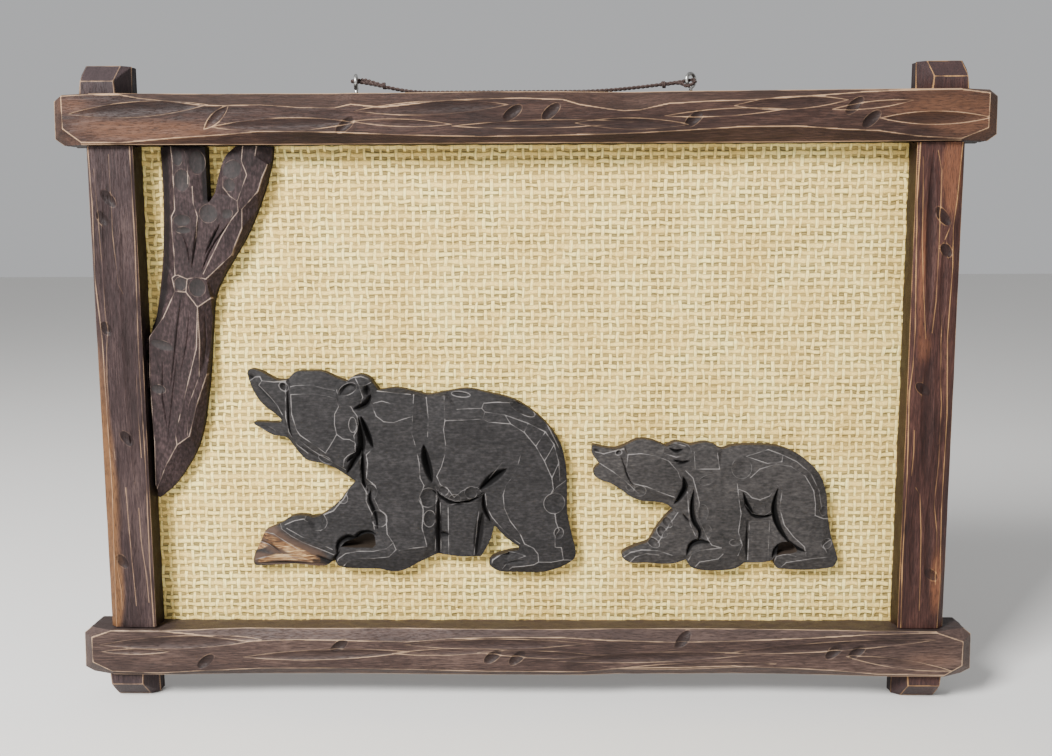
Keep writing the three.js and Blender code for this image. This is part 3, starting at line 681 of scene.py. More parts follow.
def stained_wood(name, run, tones, rubbed, pale, sheen_and_end_grain_grey):
    """Oil-stained softwood: streaked along the grain, glossy enough to catch the light.

    Arrises are rubbed through to pale wood, some places to orange brown, and cuts stay dark."""
    material, place = new_material(name)
    node = partial(add, material)
    rub, sheen_and_end_grain_share, wall, cut, dug, knot, line, wear = (
        node("Attribute", attribute_name=held).outputs["Fac"]
        for held in ("rub", "sheen_and_end_grain_grey", "wall", "cut", "dug", "knot", "line", "wear")
    )
    fibre, pores, cloud, patch = (
        streaks(material, place, run, *size)
        for size in ((10, 0.65, 5.0, 0.7), (3.5, 0.28, 2.0, 0.55), (60, 14, 2.0, 0.55), (22, 6.0, 2.0, 0.55))
    )
    # broad places are rubbed, most of all along the fibres
    blotch = weighed(material, (cloud, 1.1), (rub, 1), start=-0.55)
    grainy = node("MapRange", [weighed(material, (pores, 0.6), (fibre, 1)), 0.6, 1.0, 0.5, 0.8], **SMOOTH)
    rubbed_through = node("MapRange", [blotch, 0.25, 0.8, 0, grainy], **SMOOTH)
    # painted shade darkens the sawn sides; stain stays dark in the pores and wherever a tool went deep
    sawn = node("MapRange", [wall, 0.3, 1.0, 0, 0.8], **SMOOTH)
    pitted = node("MapRange", [pores, 0.46, 0.34, 0, 0.6], **SMOOTH)
    hidden = node("MapRange", [knot, 0.0, 0.35, 0, 0.7], **SMOOTH)
    for share in (weighed(material, (cut, 0.6)), weighed(material, (dug, 0.42))):
        hidden = node("Math", [hidden, share], operation="MAXIMUM")
    hidden = node("Math", [hidden, 0.85], operation="MINIMUM")
    # arrises are pale in patches
    patchy = weighed(material, (cloud, 0.6), (patch, 1))
    patchy = node("MapRange", [patchy, 0.6, 0.95, 0.55, 1.05], **SMOOTH)
    edge = node("Math", [weighed(material, (line, 0.8), (wear, 0.35)), patchy], operation="MULTIPLY")
    worn = node("MapRange", [edge, 0.32, 1.0, 0, 0.7], **SMOOTH)
    colour = node("ValToRGB", [weighed(material, (fibre, 0.6), (cloud, 0.4))], tones)
    # the sheen-and-end-grain share mixes in grey for painted sheen on what faces up and for the cut ends
    for share, tint in (
        (rubbed_through, rubbed), (sawn, "#150e0e"), (weighed(material, (sheen_and_end_grain_share, 0.4)), sheen_and_end_grain_grey),
        (pitted, "#1d1311"), (hidden, "#1a1110"), (worn, pale),
    ):
        colour = node("Mix", [share, colour, linear(tint)], data_type="RGBA")
    gloss = weighed(material, (fibre, 0.3), start=0.36)
    open_pores = node("MapRange", [pores, 0.3, 0.5, 0, 0.5], **SMOOTH)
    height = weighed(material, (fibre, 0.7), (open_pores, 1))
    return finish(material, colour, gloss, height, 0.16 * MM, Specular_IOR_Level=0.18)


rail_wood = stained_wood("walnut_stained_rail", "X",
                         [(0.34, "#190f0d"), (0.5, "#31211c"), (0.64, "#4d3830")],
                         "#5e3f2d", "#bd9a78", "#453a33")
# the bottom rail's stain: a lighter copy of the top rail's, standing in for the sheen where the light
# glances off it
sheen_lit_rail_wood = stained_wood("sheen_lit_walnut_rail", "X",
                         [(0.34, "#221816"), (0.5, "#41322d"), (0.64, "#604d45")],
                         "#664a3b", "#b89a7c", "#544844")
left_wood = stained_wood("purple_walnut_stile", "Z",
                         [(0.34, "#1b1312"), (0.5, "#332626"), (0.64, "#4b3c39")],
                         "#75502f", "#ab8a6c", "#40383a")
right_wood = stained_wood("red_walnut_stile", "Z",
                          [(0.34, "#1b0d0c"), (0.5, "#37211d"), (0.64, "#533730")],
                          "#6f4630", "#c0935f", "#40383a")

RAIL = {"length": 470, "height": 25, "depth": 22}
STILE = {"width": 24, "depth": 18}
LAP = {"deep": 9, "gap": 0.3}
REBATE = {"width": 6, "depth": 4.5}
CLIP = {"long": 4, "high": 3.2}  # the corner that is sawn off a rail's end
KNOT = {"length": 11.5, "width": 5.4}

rail_half = RAIL["height"] / 2
bottom_rail_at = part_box("bottom_rail")[0].z / MM + rail_half
stile_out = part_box("right_stile")[1].x / MM
stile_in = stile_out - STILE["width"]
stile_low, stile_high = (corner.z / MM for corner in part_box("right_stile"))
rebate = ([-stile_in - REBATE["width"], -REBATE["depth"], bottom_rail_at + rail_half - REBATE["width"]],
          [stile_in + REBATE["width"], 1, -rail_half + REBATE["width"]])


def strokes(piece, name, paths):
    """Soft-edged stripes on a piece's vertices, each a path of x, z, its half width and strength."""
    place, _ = vertex_places(piece)
    total = np.zeros(len(place))
    for path, half, strength in paths:
        away, _ = beside(path, place[:, 0], place[:, 2])
        total = np.maximum(total, strength * np.exp(-(away / half) ** 2))
    set_values(piece, name, total)


def patches(piece, name, spots):
    """Soft-edged patches on a piece's vertices, each x, z, half length, half width, strength."""
    place, _ = vertex_places(piece)
    total = np.zeros(len(place))
    for x, z, wide, tall, strength in spots:
        total += strength * np.exp(-((place[:, 0] - x) / wide) ** 2 - ((place[:, 2] - z) / tall) ** 2)
    set_values(piece, name, total)


def sheen_and_end_grain(piece, spots=()):
    """Painted grey sheen on what faces up, and grey on the patches given at the cut ends, partly end grain
    and partly painted sheen.
    """
    place, normal = vertex_places(piece)
    # painted sheen: the more a face points up, the greyer it is painted
    total = ((normal[:, 2] - 0.25) / 0.6).clip(0, 1) * 0.9
    for x, z, wide, tall, strength in spots:
        total += strength * np.exp(-((place[:, 0] - x) / wide) ** 4 - ((place[:, 2] - z) / tall) ** 4)
    set_values(piece, "sheen_and_end_grain_grey", total.clip(0, 1))


# The long arrises on the rails' fronts, between the flat front and the hewn corners: x, z.
TOP_RAIL_UPPER = [
    [-229, 11.3], [-215, 11.9], [-200, 11.8], [-190, 10], [-180, 9], [-170, 7.8], [-160, 6.5], [-150, 6.2],
    [-130, 6.5], [-110, 5], [-93, 4.8], [-85, 6.5], [-70, 5], [-60, 6], [-45, 7.5], [-30, 8.5], [0, 9],
    [20, 8.2], [28, 5.8], [42, 3.6], [50, 2.6], [58, 3], [65, 4.5], [72, 6], [90, 7], [110, 7.5], [130, 8.5],
    [150, 9.8], [170, 11.2], [190, 11.8], [215, 12], [229, 10.2],
]
TOP_RAIL_LOWER = [
    [-229, -4.6], [-220, -11.3], [-200, -11.6], [-175, -9.5], [-150, -8], [-130, -6.4], [-93, -7],
    [-60, -8.5], [-20, -9.5], [20, -9], [50, -8.4], [80, -7], [108, -5.4], [135, -5.2], [160, -7],
    [175, -7.6], [195, -10.4], [216, -11.6], [229, -6.5],
]


def rail_facets(upper, lower, at):
    """The net of a rail's front: flat between the two arrises, hewn away beyond them."""
    end, deep = RAIL["length"] / 2, RAIL["depth"]
    slope_up, slope_down = 0.75, 0.9
    top = [(x, at + rail_half, deep - slope_up * (at + rail_half - z)) for x, z in upper[1:-1]]
    bottom = [(x, at - rail_half, deep - slope_down * (z - at + rail_half)) for x, z in lower[1:-1]]
    nets = [[(x, z, deep) for x, z in upper], [(x, z, deep) for x, z in lower], top, bottom]
    for side, upper_end, lower_end in ((-1, upper[0], lower[0]), (1, upper[-1], lower[-1])):
        nets.append([(*upper_end, deep), (*lower_end, deep)])
        nets.append([
            (side * (end - CLIP["long"]), at + rail_half, deep - 6),
            (side * end, at + rail_half - CLIP["high"], deep - 6),
            (side * end, at - rail_half + CLIP["high"], deep - 5),
            (side * (end - CLIP["long"]), at - rail_half, deep - 6.5),
        ])
    return nets


def hewn_rail(node, at, wood, upper, lower, leaves, knots, rubs):
    """One rail, with its laps for the stiles and its share of the rebate sawn out."""
    end, low, high = RAIL["length"] / 2, at - rail_half, at + rail_half
    long, tall = CLIP["long"], CLIP["high"]
    ring = [
        [[-end, low + tall], [-end + long, low]], [[end - long, low], [end, low + tall]],
        [[end, high - tall], [end - long, high]], [[-end + long, high], [-end, high - tall]],
    ]
    facets = rail_facets([(x, at + z) for x, z in upper], [(x, at + z) for x, z in lower], at)
    ovals = [(x, at + z, KNOT["length"], KNOT["width"], angle, 1.3) for x, z, angle in knots]
    rail = carve("hewn_" + node, ring, facets, 0, wood, "frame_wood", ovals=ovals,
                 leaves=[(x, at + z, *size) for x, z, *size in leaves],
                 waves=0.22, wall_waves=0.5, wall_rows=9, rim_line=0.4)
    patches(rail, "rub", [(x, at + z, *size) for x, z, *size in rubs])
    # grey on the rail's cut ends, partly end grain and partly painted sheen, and painted sheen on what faces
    # up
    sheen_and_end_grain(rail, [(side * end, at, 5, 30, 0.7) for side in (-1, 1)])
    laps = []
    for side in (-1, 1):
        x = sorted([side * (stile_in - LAP["gap"]), side * (stile_out + LAP["gap"])])
        laps.append(([x[0], -LAP["deep"] - LAP["gap"], low - 1], [x[1], 1, high + 1]))
    saw_out(rail, *laps)
    saw_out(rail, rebate)
    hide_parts(node)


# Leaf-shaped gouge strokes: x, height over the rail's centre line, length, width, angle, depth.
# Knots are x, the same height, and angle.
TOP_RAIL_LEAVES = [
    [-191, 4.6, 70, 7.6, 3.5, 1.1], [-119, -3.2, 72, 6.6, 1.5, 1.1], [-45, 4.6, 76, 6.8, 2, 1.0],
    [54, -3.6, 56, 5.4, -1, 1.0], [132, 6.0, 56, 6.2, 2.5, 1.1], [203, -1.6, 54, 6.4, 0, 1.7],
    [-152, 0.5, 17, 5, 42, 1.0], [10, -3.6, 90, 4, 1, 0.5], [100, 1.6, 60, 3.6, 3, 0.5],
    [-60, -2.6, 50, 3.6, -2, 0.5], [172, 4.8, 40, 3.4, 6, 0.6],
]
TOP_RAIL_KNOTS = [[-88, -3.5, 38], [-5, 2, 36], [14, 2.5, 40], [84.5, -1.5, 40], [163, 4.5, 42],
                  [171.5, -2, 42]]
BOTTOM_RAIL_UPPER = [
    [-229, 8.5], [-219, 12], [-190, 11.8], [-175, 10.4], [-160, 8], [-148, 6.6], [-120, 7.6], [-90, 7],
    [-62, 6.4], [-40, 8.2], [-10, 9], [20, 8.8], [45, 7.4], [80, 6.4], [110, 7.2], [150, 8.8], [180, 10.8],
    [215, 11.8], [229, 7],
]
BOTTOM_RAIL_LOWER = [
    [-229, -5], [-219, -10], [-195, -11], [-170, -9.6], [-140, -8.2], [-100, -8], [-60, -8.8], [-20, -9.6],
    [30, -9.8], [50, -7.8], [80, -7.6], [110, -6.6], [140, -7.6], [165, -9], [185, -10.8], [220, -11.4],
    [229, -6],
]
BOTTOM_RAIL_LEAVES = [
    [-182, 6, 86, 7, 2, 1.1], [-105, -0.6, 88, 5.6, 2, 1.1], [-16, 5.2, 96, 5.6, 0.5, 0.9],
    [66, -1.8, 110, 5.4, 2, 1.0], [160, 4.2, 110, 5, 4, 0.9], [-206, 0.8, 36, 3, 0, 0.6],
    [90, -6.6, 84, 3.6, 2, 0.7], [10, -0.5, 70, 4, -2, 0.6], [196, -5, 56, 5, -8, 0.7],
    [-40, 1, 60, 3.6, 2, 0.5],
]
BOTTOM_RAIL_KNOTS = [[-169, -4.5, 38], [-98, 4, 36], [-17, -1.6, 36], [-4, -2.2, 40], [83, 7.4, 42],
                     [162, 1.4, 40], [174, 1.4, 40]]

# Where the stain is rubbed: x, height over the rail's centre line, half length, half width, strength.
TOP_RAIL_RUBS = [
    (-195, -5, 45, 8, 0.7), (-175, -6, 30, 4, 0.5), (212, 1, 34, 14, 0.9), (-222, 8, 12, 6, 0.5),
    (-110, 4, 20, 3, 0.4), (130, -1, 30, 3, 0.3),
]
BOTTOM_RAIL_RUBS = [
    (-205, 0, 30, 12, 0.3), (-150, -5, 40, 4, 0.4), (60, -3, 40, 4, 0.4), (210, 0, 24, 12, 0.4),
]

hewn_rail("top_rail", 0, rail_wood, TOP_RAIL_UPPER, TOP_RAIL_LOWER, TOP_RAIL_LEAVES, TOP_RAIL_KNOTS,
          TOP_RAIL_RUBS)
hewn_rail("bottom_rail", bottom_rail_at, sheen_lit_rail_wood, BOTTOM_RAIL_UPPER, BOTTOM_RAIL_LOWER,
          BOTTOM_RAIL_LEAVES, BOTTOM_RAIL_KNOTS, BOTTOM_RAIL_RUBS)


def stile_facets(side, inner, outer, ridges, leans):
    """The net of a stile's front, with the hewn facets of the stub at each end."""
    deep = STILE["depth"]
    nets = [
        [(side * x, z, deep) for x, z in inner], [(side * x, z, deep) for x, z in outer],
        [(side * (stile_in - 0.2), z, deep - 0.9) for _, z in inner],
        [(side * (stile_out + 0.2), z, deep - 2.6) for _, z in outer],
        *[[(side * x, z, deep) for x, z in ridge] for ridge in ridges],
    ]
    above, below = rail_half + 0.5, bottom_rail_at - rail_half + 0.5
    for up, near, end, lean in ((1, above, stile_high, leans[0]), (-1, below, stile_low, leans[1])):
        bend = end - up * 8.6
        stub = [
            [(stile_in + 5, near, deep), (stile_in + 5.5, bend, deep), (stile_in + 4.5, end, deep - 8.6)],
            [(stile_out - 1.6, near, deep), (stile_out - 2, bend, deep), (stile_out - 2.5, end, deep - 8.6)],
            [(stile_in + 5.5, bend, deep), (stile_out - 2, bend, deep)],
            [(stile_in + 4.5, end, deep - 8.6), (stile_out - 2.5, end, deep - 8.6)],
            [(stile_in, near, deep - 11), (stile_in, end, deep - 12)],
            [(stile_out, near, deep - 3), (stile_out, end, deep - 11)],
        ]
        nets += [[(side * (x + lean), z, height) for x, z, height in line] for line in stub]
    return nets


def hewn_stile(node, side, wood, inner, outer, ridges, leaves, knots, rubs, leans):
    """One stile, with the laps and its share of the rebate sawn out.

    Leans are how far its top and bottom stubs stand out sideways."""
    x0, x1 = side * stile_in, side * stile_out
    (top0, top1), (low0, low1) = [(x0 + side * lean, x1 + side * lean) for lean in leans]
    under = bottom_rail_at - rail_half
    ring = [
        [[low0, stile_low], [low0, under]], [[x0, under + 1], [x0, rail_half - 1]],
        [[top0, rail_half], [top0, stile_high]],
        [[top0 + side * 0.4, stile_high], [top1 - side * 1.8, stile_high]],
        [[top1, stile_high - 13.6], [top1, rail_half]], [[x1, rail_half - 1], [x1, under + 1]],
        [[low1, under], [low1, stile_low + 14]],
        [[low1 - side * 1.8, stile_low], [low0 + side * 0.4, stile_low]],
    ]
    if side > 0:
        ring = [run[::-1] for run in ring[::-1]]
    facets = stile_facets(side, inner, outer, ridges, leans)
    ovals = [(x, z, long, KNOT["width"], angle, 1.1) for x, z, long, angle in knots]
    stile = carve("hewn_" + node, ring, facets, 0, wood, "frame_wood", ovals=ovals, leaves=leaves,
                  grain="Z", waves=0.22, wall_waves=0.35, wall_rows=8, rim_line=0.5, leaf_line=0.3)
    patches(stile, "rub", rubs)
    middle = side * (stile_in + stile_out) / 2
    # grey on the stub ends, partly end grain and partly painted sheen, and painted sheen on what faces up
    sheen_and_end_grain(stile, [(middle, z, 20, 9, 0.9) for z in (stile_high - 3, stile_low + 3)])
    blocks = []
    for at in (0, bottom_rail_at):
        reach = rail_half + LAP["gap"]
        x = sorted([side * (stile_in - 1), side * (stile_out + 1)])
        blocks.append(([x[0], -STILE["depth"] - 1, at - reach], [x[1], -LAP["deep"], at + reach]))
    saw_out(stile, *blocks)
    saw_out(stile, rebate)
    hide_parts(node)


# Arrises down a stile's front, as distances out from the middle of the plaque: x, z.
LEFT_STILE_INNER = [[197.4, -11], [197, -60], [198, -120], [197.2, -180], [197.6, -230], [197, -265]]
LEFT_STILE_OUTER = [[218.6, -11], [217.8, -40], [218.4, -80], [216.4, -110], [216, -150], [215.4, -190],
                    [216.4, -230], [217, -265]]
RIGHT_STILE_INNER = [[197.4, -11], [196.8, -40], [197.8, -80], [198.6, -107], [198.2, -125], [196.9, -138],
                     [197.6, -180], [197, -230], [197.6, -265]]
RIGHT_STILE_OUTER = [[218.4, -11], [216.8, -40], [215.4, -55], [216, -75], [215, -110], [216.6, -150],
                     [216, -200], [217, -240], [216.4, -265]]
# Arrises left between the long knife strokes on a stile's front.
LEFT_STILE_RIDGES = [
    [[208.2, -17], [208.2, -34], [208, -44], [208.2, -56], [207.2, -72], [206.6, -82], [204.5, -87]],
    [[216, -24], [215.1, -50], [214.2, -82], [214.1, -99], [213.5, -107], [214.5, -117], [215, -132],
     [214.7, -144], [213.9, -159], [213, -173]],
    [[199.7, -128], [199.7, -150], [199.2, -172]],
    [[202, -199], [201.4, -219], [199.6, -236], [199, -250]],
    [[208.2, -188], [207.6, -212], [207, -227], [205.8, -252]],
    [[214.4, -224], [215, -231], [213.6, -242], [213.4, -254]],
]
LEFT_STILE_LEAVES = [
    [-203, -120, 150, 7, 90.4, 0.8], [-211.6, -72, 90, 5, 89.4, 0.6], [-204.4, -224, 62, 5.4, 91.4, 0.7],
    [-211, -196, 64, 5, 90, 0.6],
]
LEFT_STILE_KNOTS = [[-209.5, -38.8, 11, -52], [-213, -48.8, 9, -58], [-214, -104.6, 8, -60],
                    [-206.2, -162, 10, -52], [-212, -227.6, 9, -52]]
LEFT_STILE_RUBS = [(-219, -190, 6, 70, 1.2), (-219, -250, 8, 22, 0.8), (-216, -60, 2.5, 40, 0.4)]
RIGHT_STILE_RIDGES = [
    [[198.9, -20], [199.6, -37], [200.2, -62], [201.5, -82], [203, -99], [204, -111]],
    [[206.2, -17], [208.4, -27], [208.6, -42], [208.6, -74], [208.4, -92], [207.1, -108]],
    [[212.8, -44], [214.6, -49.5], [214.4, -53], [211.5, -61]],
    [[211.8, -99], [211.8, -112], [212.5, -132], [213.4, -144], [213.4, -174], [212.1, -197], [214.2, -212],
     [214.6, -240]],
    [[200.2, -158], [200.4, -169], [199.8, -182]],
    [[202.1, -188], [204.6, -192], [205.9, -212], [206.5, -232], [206.8, -254]],
]
RIGHT_STILE_LEAVES = [
    [204.6, -62, 92, 5.6, 91, 1.2], [211.8, -84, 52, 4.4, 90, 0.7], [206.6, -150, 84, 7, 90.6, 0.8],
    [210.2, -220, 60, 5, 91.4, 0.9], [202.4, -222, 54, 4.6, 90.6, 0.8],
]
RIGHT_STILE_KNOTS = [[210, -49.4, 12, -50], [212.4, -66.4, 8, -56], [204, -137, 10, -40],
                     [212, -234.5, 9, -40]]
RIGHT_STILE_RUBS = [(214, -28, 5, 20, 1.3), (201, -70, 2, 46, 0.7), (205, -116, 4, 12, 0.6),
                    (215, -240, 4, 20, 1.1)]

hewn_stile("left_stile", -1, left_wood, LEFT_STILE_INNER, LEFT_STILE_OUTER, LEFT_STILE_RIDGES,
           LEFT_STILE_LEAVES, LEFT_STILE_KNOTS, LEFT_STILE_RUBS, (2.6, 3.2))
hewn_stile("right_stile", 1, right_wood, RIGHT_STILE_INNER, RIGHT_STILE_OUTER, RIGHT_STILE_RIDGES,
           RIGHT_STILE_LEAVES, RIGHT_STILE_KNOTS, RIGHT_STILE_RUBS, (1.3, 1.2))

# ---- Tree ------------------------------------------------------------------
# A forked trunk sawn from a 10 mm board and pared to long facets with a knife, stained dark
# purple brown. It is glued on the cloth, against the left stile and the top rail.


def blacked_wood(name, run, tones, pale, sawn, chips=0.0):
    """Carved softwood under dark water stain: matt, with faint grain.

    Arrises are a thin paler grey where the stain wore off, knife cuts are black with pooled
    stain, the sawn edges are browner, and bare places show the pale wood."""
    material, place = new_material(name)
    node = partial(add, material)
    knot, wall, rock, bare, cut, painted_shade, line, wear = (
        node("Attribute", attribute_name=held).outputs["Fac"]
        for held in ("knot", "wall", "rock", "bare", "cut", "painted_shade", "line", "wear")
    )
    fibre, pores, cloud, blot, patch = (
        streaks(material, place, run, *size)
        for size in ((5, 0.5, 5.0), (3, 0.3, 2.0), (30, 12, 2.0), (2.2, 1.2, 4.0), (12, 6, 2.0))
    )
    bare_wood = node("ValToRGB", [weighed(material, (fibre, 0.7), (cloud, 0.5))], [
        (0.44, "#2c2019"), (0.58, "#6d4c31"), (0.7, "#ab8c63"), (0.9, "#d6bf98"),
    ])
    ragged = weighed(material, (cloud, 0.8), (bare, 1), start=-0.4)
    patchy = node("MapRange", [patch, 0.34, 0.6, 0.5, 1.1], **SMOOTH)
    edge = node("Math", [weighed(material, (line, 0.8), (wear, 0.25)), patchy], operation="MULTIPLY")
    colour = node("ValToRGB", [weighed(material, (fibre, 0.3), (cloud, 0.2), (blot, 0.5))], tones)
    # each layer: the value that brings it in, from where to where, its greatest share, its colour
    for value, low, high, share, tint in (
        (knot, 0.0, 0.3, chips, linear("#2c2b2a")), (wall, 0.2, 0.9, 0.9, linear(sawn)),
        (rock, 0.3, 0.8, 0.8, linear("#4d3b30")), (ragged, 0.3, 0.7, 1.0, bare_wood),
        (pores, 0.42, 0.32, 0.3, linear("#151212")), (cut, 0.15, 1.3, 1.0, linear("#070606")),
        # painted shade: near black on the places given, where shade falls
        (painted_shade, 0.2, 0.8, 0.8, linear("#0d0a0a")), (edge, 0.3, 1.0, 0.62, linear(pale)),
    ):
        shown = node("MapRange", [value, low, high, 0, share], **SMOOTH)
        colour = node("Mix", [shown, colour, tint], data_type="RGBA")
    gloss = weighed(material, (fibre, 0.25), start=0.58)
    open_pores = node("MapRange", [pores, 0.3, 0.5, 0, 0.4], **SMOOTH)
    height = weighed(material, (fibre, 0.6), (open_pores, 1))
    return finish(material, colour, gloss, height, 0.1 * MM, Specular_IOR_Level=0.2)


TREE_OUTLINE = [
    [[-161.2, -12.8], [-161.1, -39.5]],
    [[-160.4, -40.8], [-159.6, -40.3]],
    [[-159.6, -40.3], [-157.4, -36], [-155.7, -29.5], [-153.6, -22.6], [-150.9, -17.2], [-146, -12.8]],
    [[-127.4, -12.8], [-128.4, -20.5], [-131.6, -32], [-136, -44], [-142, -57], [-149, -68.5],
     [-155.8, -79.5], [-160.2, -89.5], [-161.6, -100], [-163, -114.5], [-164.4, -129], [-166.4, -143],
     [-169, -157.5], [-172.8, -169], [-178.4, -179], [-185.5, -188.5], [-192.5, -194.6]],
    [[-193.4, -195.2], [-194.8, -194.6]],
    [[-195.3, -188], [-195.5, -150], [-195.4, -118], [-194.2, -107], [-191.4, -99], [-188.8, -85],
     [-186.8, -70], [-185.4, -50], [-185, -30], [-185.4, -12.8]],
]
# Arrises between the facets, each a list of x, z, height over the cloth.
TREE_ARRISES = [
    [(-178, -12.8, 9.4), (-177.4, -20, 9.6), (-177.2, -44.6, 9.6), (-179.1, -47.8, 9.5),
     (-179.1, -56.5, 9.6), (-178.5, -66.5, 9.7), (-178.5, -77.8, 9.8), (-180.1, -79, 9.7),
     (-178.9, -85.9, 9.8), (-185.8, -99.4, 9.2), (-193.6, -109.5, 8.8), (-194.4, -130, 9), (-194, -150, 9),
     (-193.5, -165, 9), (-194.4, -188, 7.8)],
    [(-178.5, -77.8, 9.8), (-176.8, -77.6, 10), (-172.2, -79.6, 10), (-168, -78.6, 10),
     (-162.6, -79.6, 9.6)],
    [(-178.9, -85.9, 9.8), (-173.2, -86.2, 10), (-167.6, -94, 9.8), (-160.9, -89.4, 8.2)],
    [(-172.2, -79.6, 10), (-173.2, -86.2, 10)],
    [(-167.6, -94, 9.8), (-169, -115, 10), (-177.5, -145, 10), (-182, -160, 9.8), (-181.5, -166, 9.6),
     (-188, -177, 8.8), (-194, -190, 7.2)],
    [(-167.6, -94, 9.8), (-167.4, -112, 9.3), (-168.4, -130, 9.4), (-174.5, -145, 9.6), (-176, -161, 9)],
    [(-164.8, -129, 8), (-170.5, -145, 8.8), (-175, -161.5, 9), (-181.5, -166, 9.6)],
    [(-141.4, -12.8, 9.3), (-142.3, -20.3, 9.4), (-139.8, -27.1, 9.6), (-145.1, -40.3, 9.6),
     (-144.8, -45.3, 9.6), (-149.5, -50.9, 9.4), (-154.5, -59, 9.6), (-163.9, -77, 9.8)],
    [(-134.5, -12.8, 8.8), (-135.5, -17.8, 8.8)],
    [(-129.6, -22, 7.6), (-132.8, -29.6, 8.4), (-134.6, -35.3, 8.6), (-143.1, -44.4, 8.8),
     (-143.5, -54, 8.7), (-147.6, -62.8, 8.7), (-149.4, -67.5, 8.7), (-162.6, -79.6, 9.6)],
    [(-152.3, -28.4, 8.8), (-152.3, -33.4, 9), (-148.9, -37.8, 9.2), (-145.1, -40.3, 9.6)],
    [(-171, -15.2, 9.4), (-169.8, -22.8, 9.4), (-170.1, -31.5, 9.4)],
    [(-167.9, -32.8, 9.2), (-167.6, -41.5, 9.4), (-165.8, -47.8, 9.4), (-167, -57.8, 9.5),
     (-169.5, -67.8, 9.6), (-170.1, -76.5, 9.8)],
]
TREE_CUTS = [
    ([(-165.4, -49), (-167.6, -62), (-169.8, -74)], 1.8, 1.2),
    ([(-154.5, -52), (-159, -60), (-162.4, -67)], 2.0, 1.4),
    ([(-148.9, -50.3), (-158.6, -62.8), (-164.6, -75.5)], 1.4, 1),
    ([(-176, -90), (-178.6, -104), (-181, -120), (-183.6, -136)], 1.2, 0.7),
    ([(-172, -96), (-174, -112), (-178, -128)], 1, 0.5),
    ([(-187, -122), (-188, -140), (-186, -158)], 1.3, 0.7),
    ([(-179, -118), (-183, -142), (-186.6, -166)], 0.9, 0.5),
    ([(-173.6, -57), (-171.6, -64), (-170.6, -72)], 1, 0.6),
    ([(-164.8, -98), (-165, -112), (-166.4, -124)], 1, 0.6),
]
TREE_OVALS = [
    (-187, -113.6, 13, 5, -18, 0.9), (-190, -136.6, 8, 5, -10, 0.9), (-173.8, -49.8, 9, 6, 0, 0.8),
    (-173.2, -54.8, 8, 3.4, 0, 0.6), (-147.4, -24.4, 10.6, 9.4, 30, 0.8), (-148.9, -32.2, 6, 7, 30, 0.6),
    (-165.3, -20.8, 8, 12, 0, 0.8), (-173, -29.8, 8, 11.5, 0, 0.8), (-174.6, -18.6, 5, 8, 0, 0.5),
    (-160.2, -46.4, 9.4, 9.6, 0, 0.8), (-150.6, -46.6, 6, 5, 20, 0.6), (-175.8, -82, 6.4, 7, 0, 0.6),
    (-167.4, -84, 8.4, 9.6, 0, 0.8),
]

GLUED_AT = -4.8  # y of the figures' flat backs, on the cloth
tree_wood = blacked_wood("purple_brown_stained_tree", "Z",
                         [(0.34, "#140d0d"), (0.5, "#2a1f1f"), (0.68, "#473838")],
                         "#b49d8c", "#120d0c", 0.55)
tree = carve("carved_forked_tree", TREE_OUTLINE, TREE_ARRISES, GLUED_AT, tree_wood, "tree_wood",
             cuts=TREE_CUTS,
             ovals=TREE_OVALS, rims=[7, 8, 6, 4.4, 4.6, 2.6], grain="Z", waves=0.16, rim_line=0.5)
# painted shade: the left stile's shadow down the trunk's left edge and in the notch, shade along a cut, the
# top rail's shade across the tops, and a wide darkening of the upper part under the rail
strokes(tree, "painted_shade", [
    ([(-182, -12.8), (-182.6, -48), (-184, -72), (-187, -92), (-191.4, -104)], 2.4, 1.0),
    ([(-162, -14), (-161.8, -40)], 1.6, 1.0), ([(-175, -84), (-178, -100), (-182, -118)], 1.2, 0.5),
    ([(-184, -12.6), (-161, -12.6)], 2.0, 0.9), ([(-147, -12.6), (-126, -12.6)], 1.6, 0.7),
    ([(-186, -16), (-125, -16)], 15, 0.42),
])
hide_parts("carved_tree")

# ---- Mother bear -----------------------------------------------------------
# She is sawn from a 9 mm board together with the rock under her far paw. Her body is left flat
# between knife-cut arrises, round chips shape her edges, and deep wedge cuts part the limbs.


def placed_at(corner, runs):
    """Runs of points that are given from a corner, where they belong on the plaque."""
    return [[[x + corner[0], z + corner[1]] for x, z in run] for run in runs]


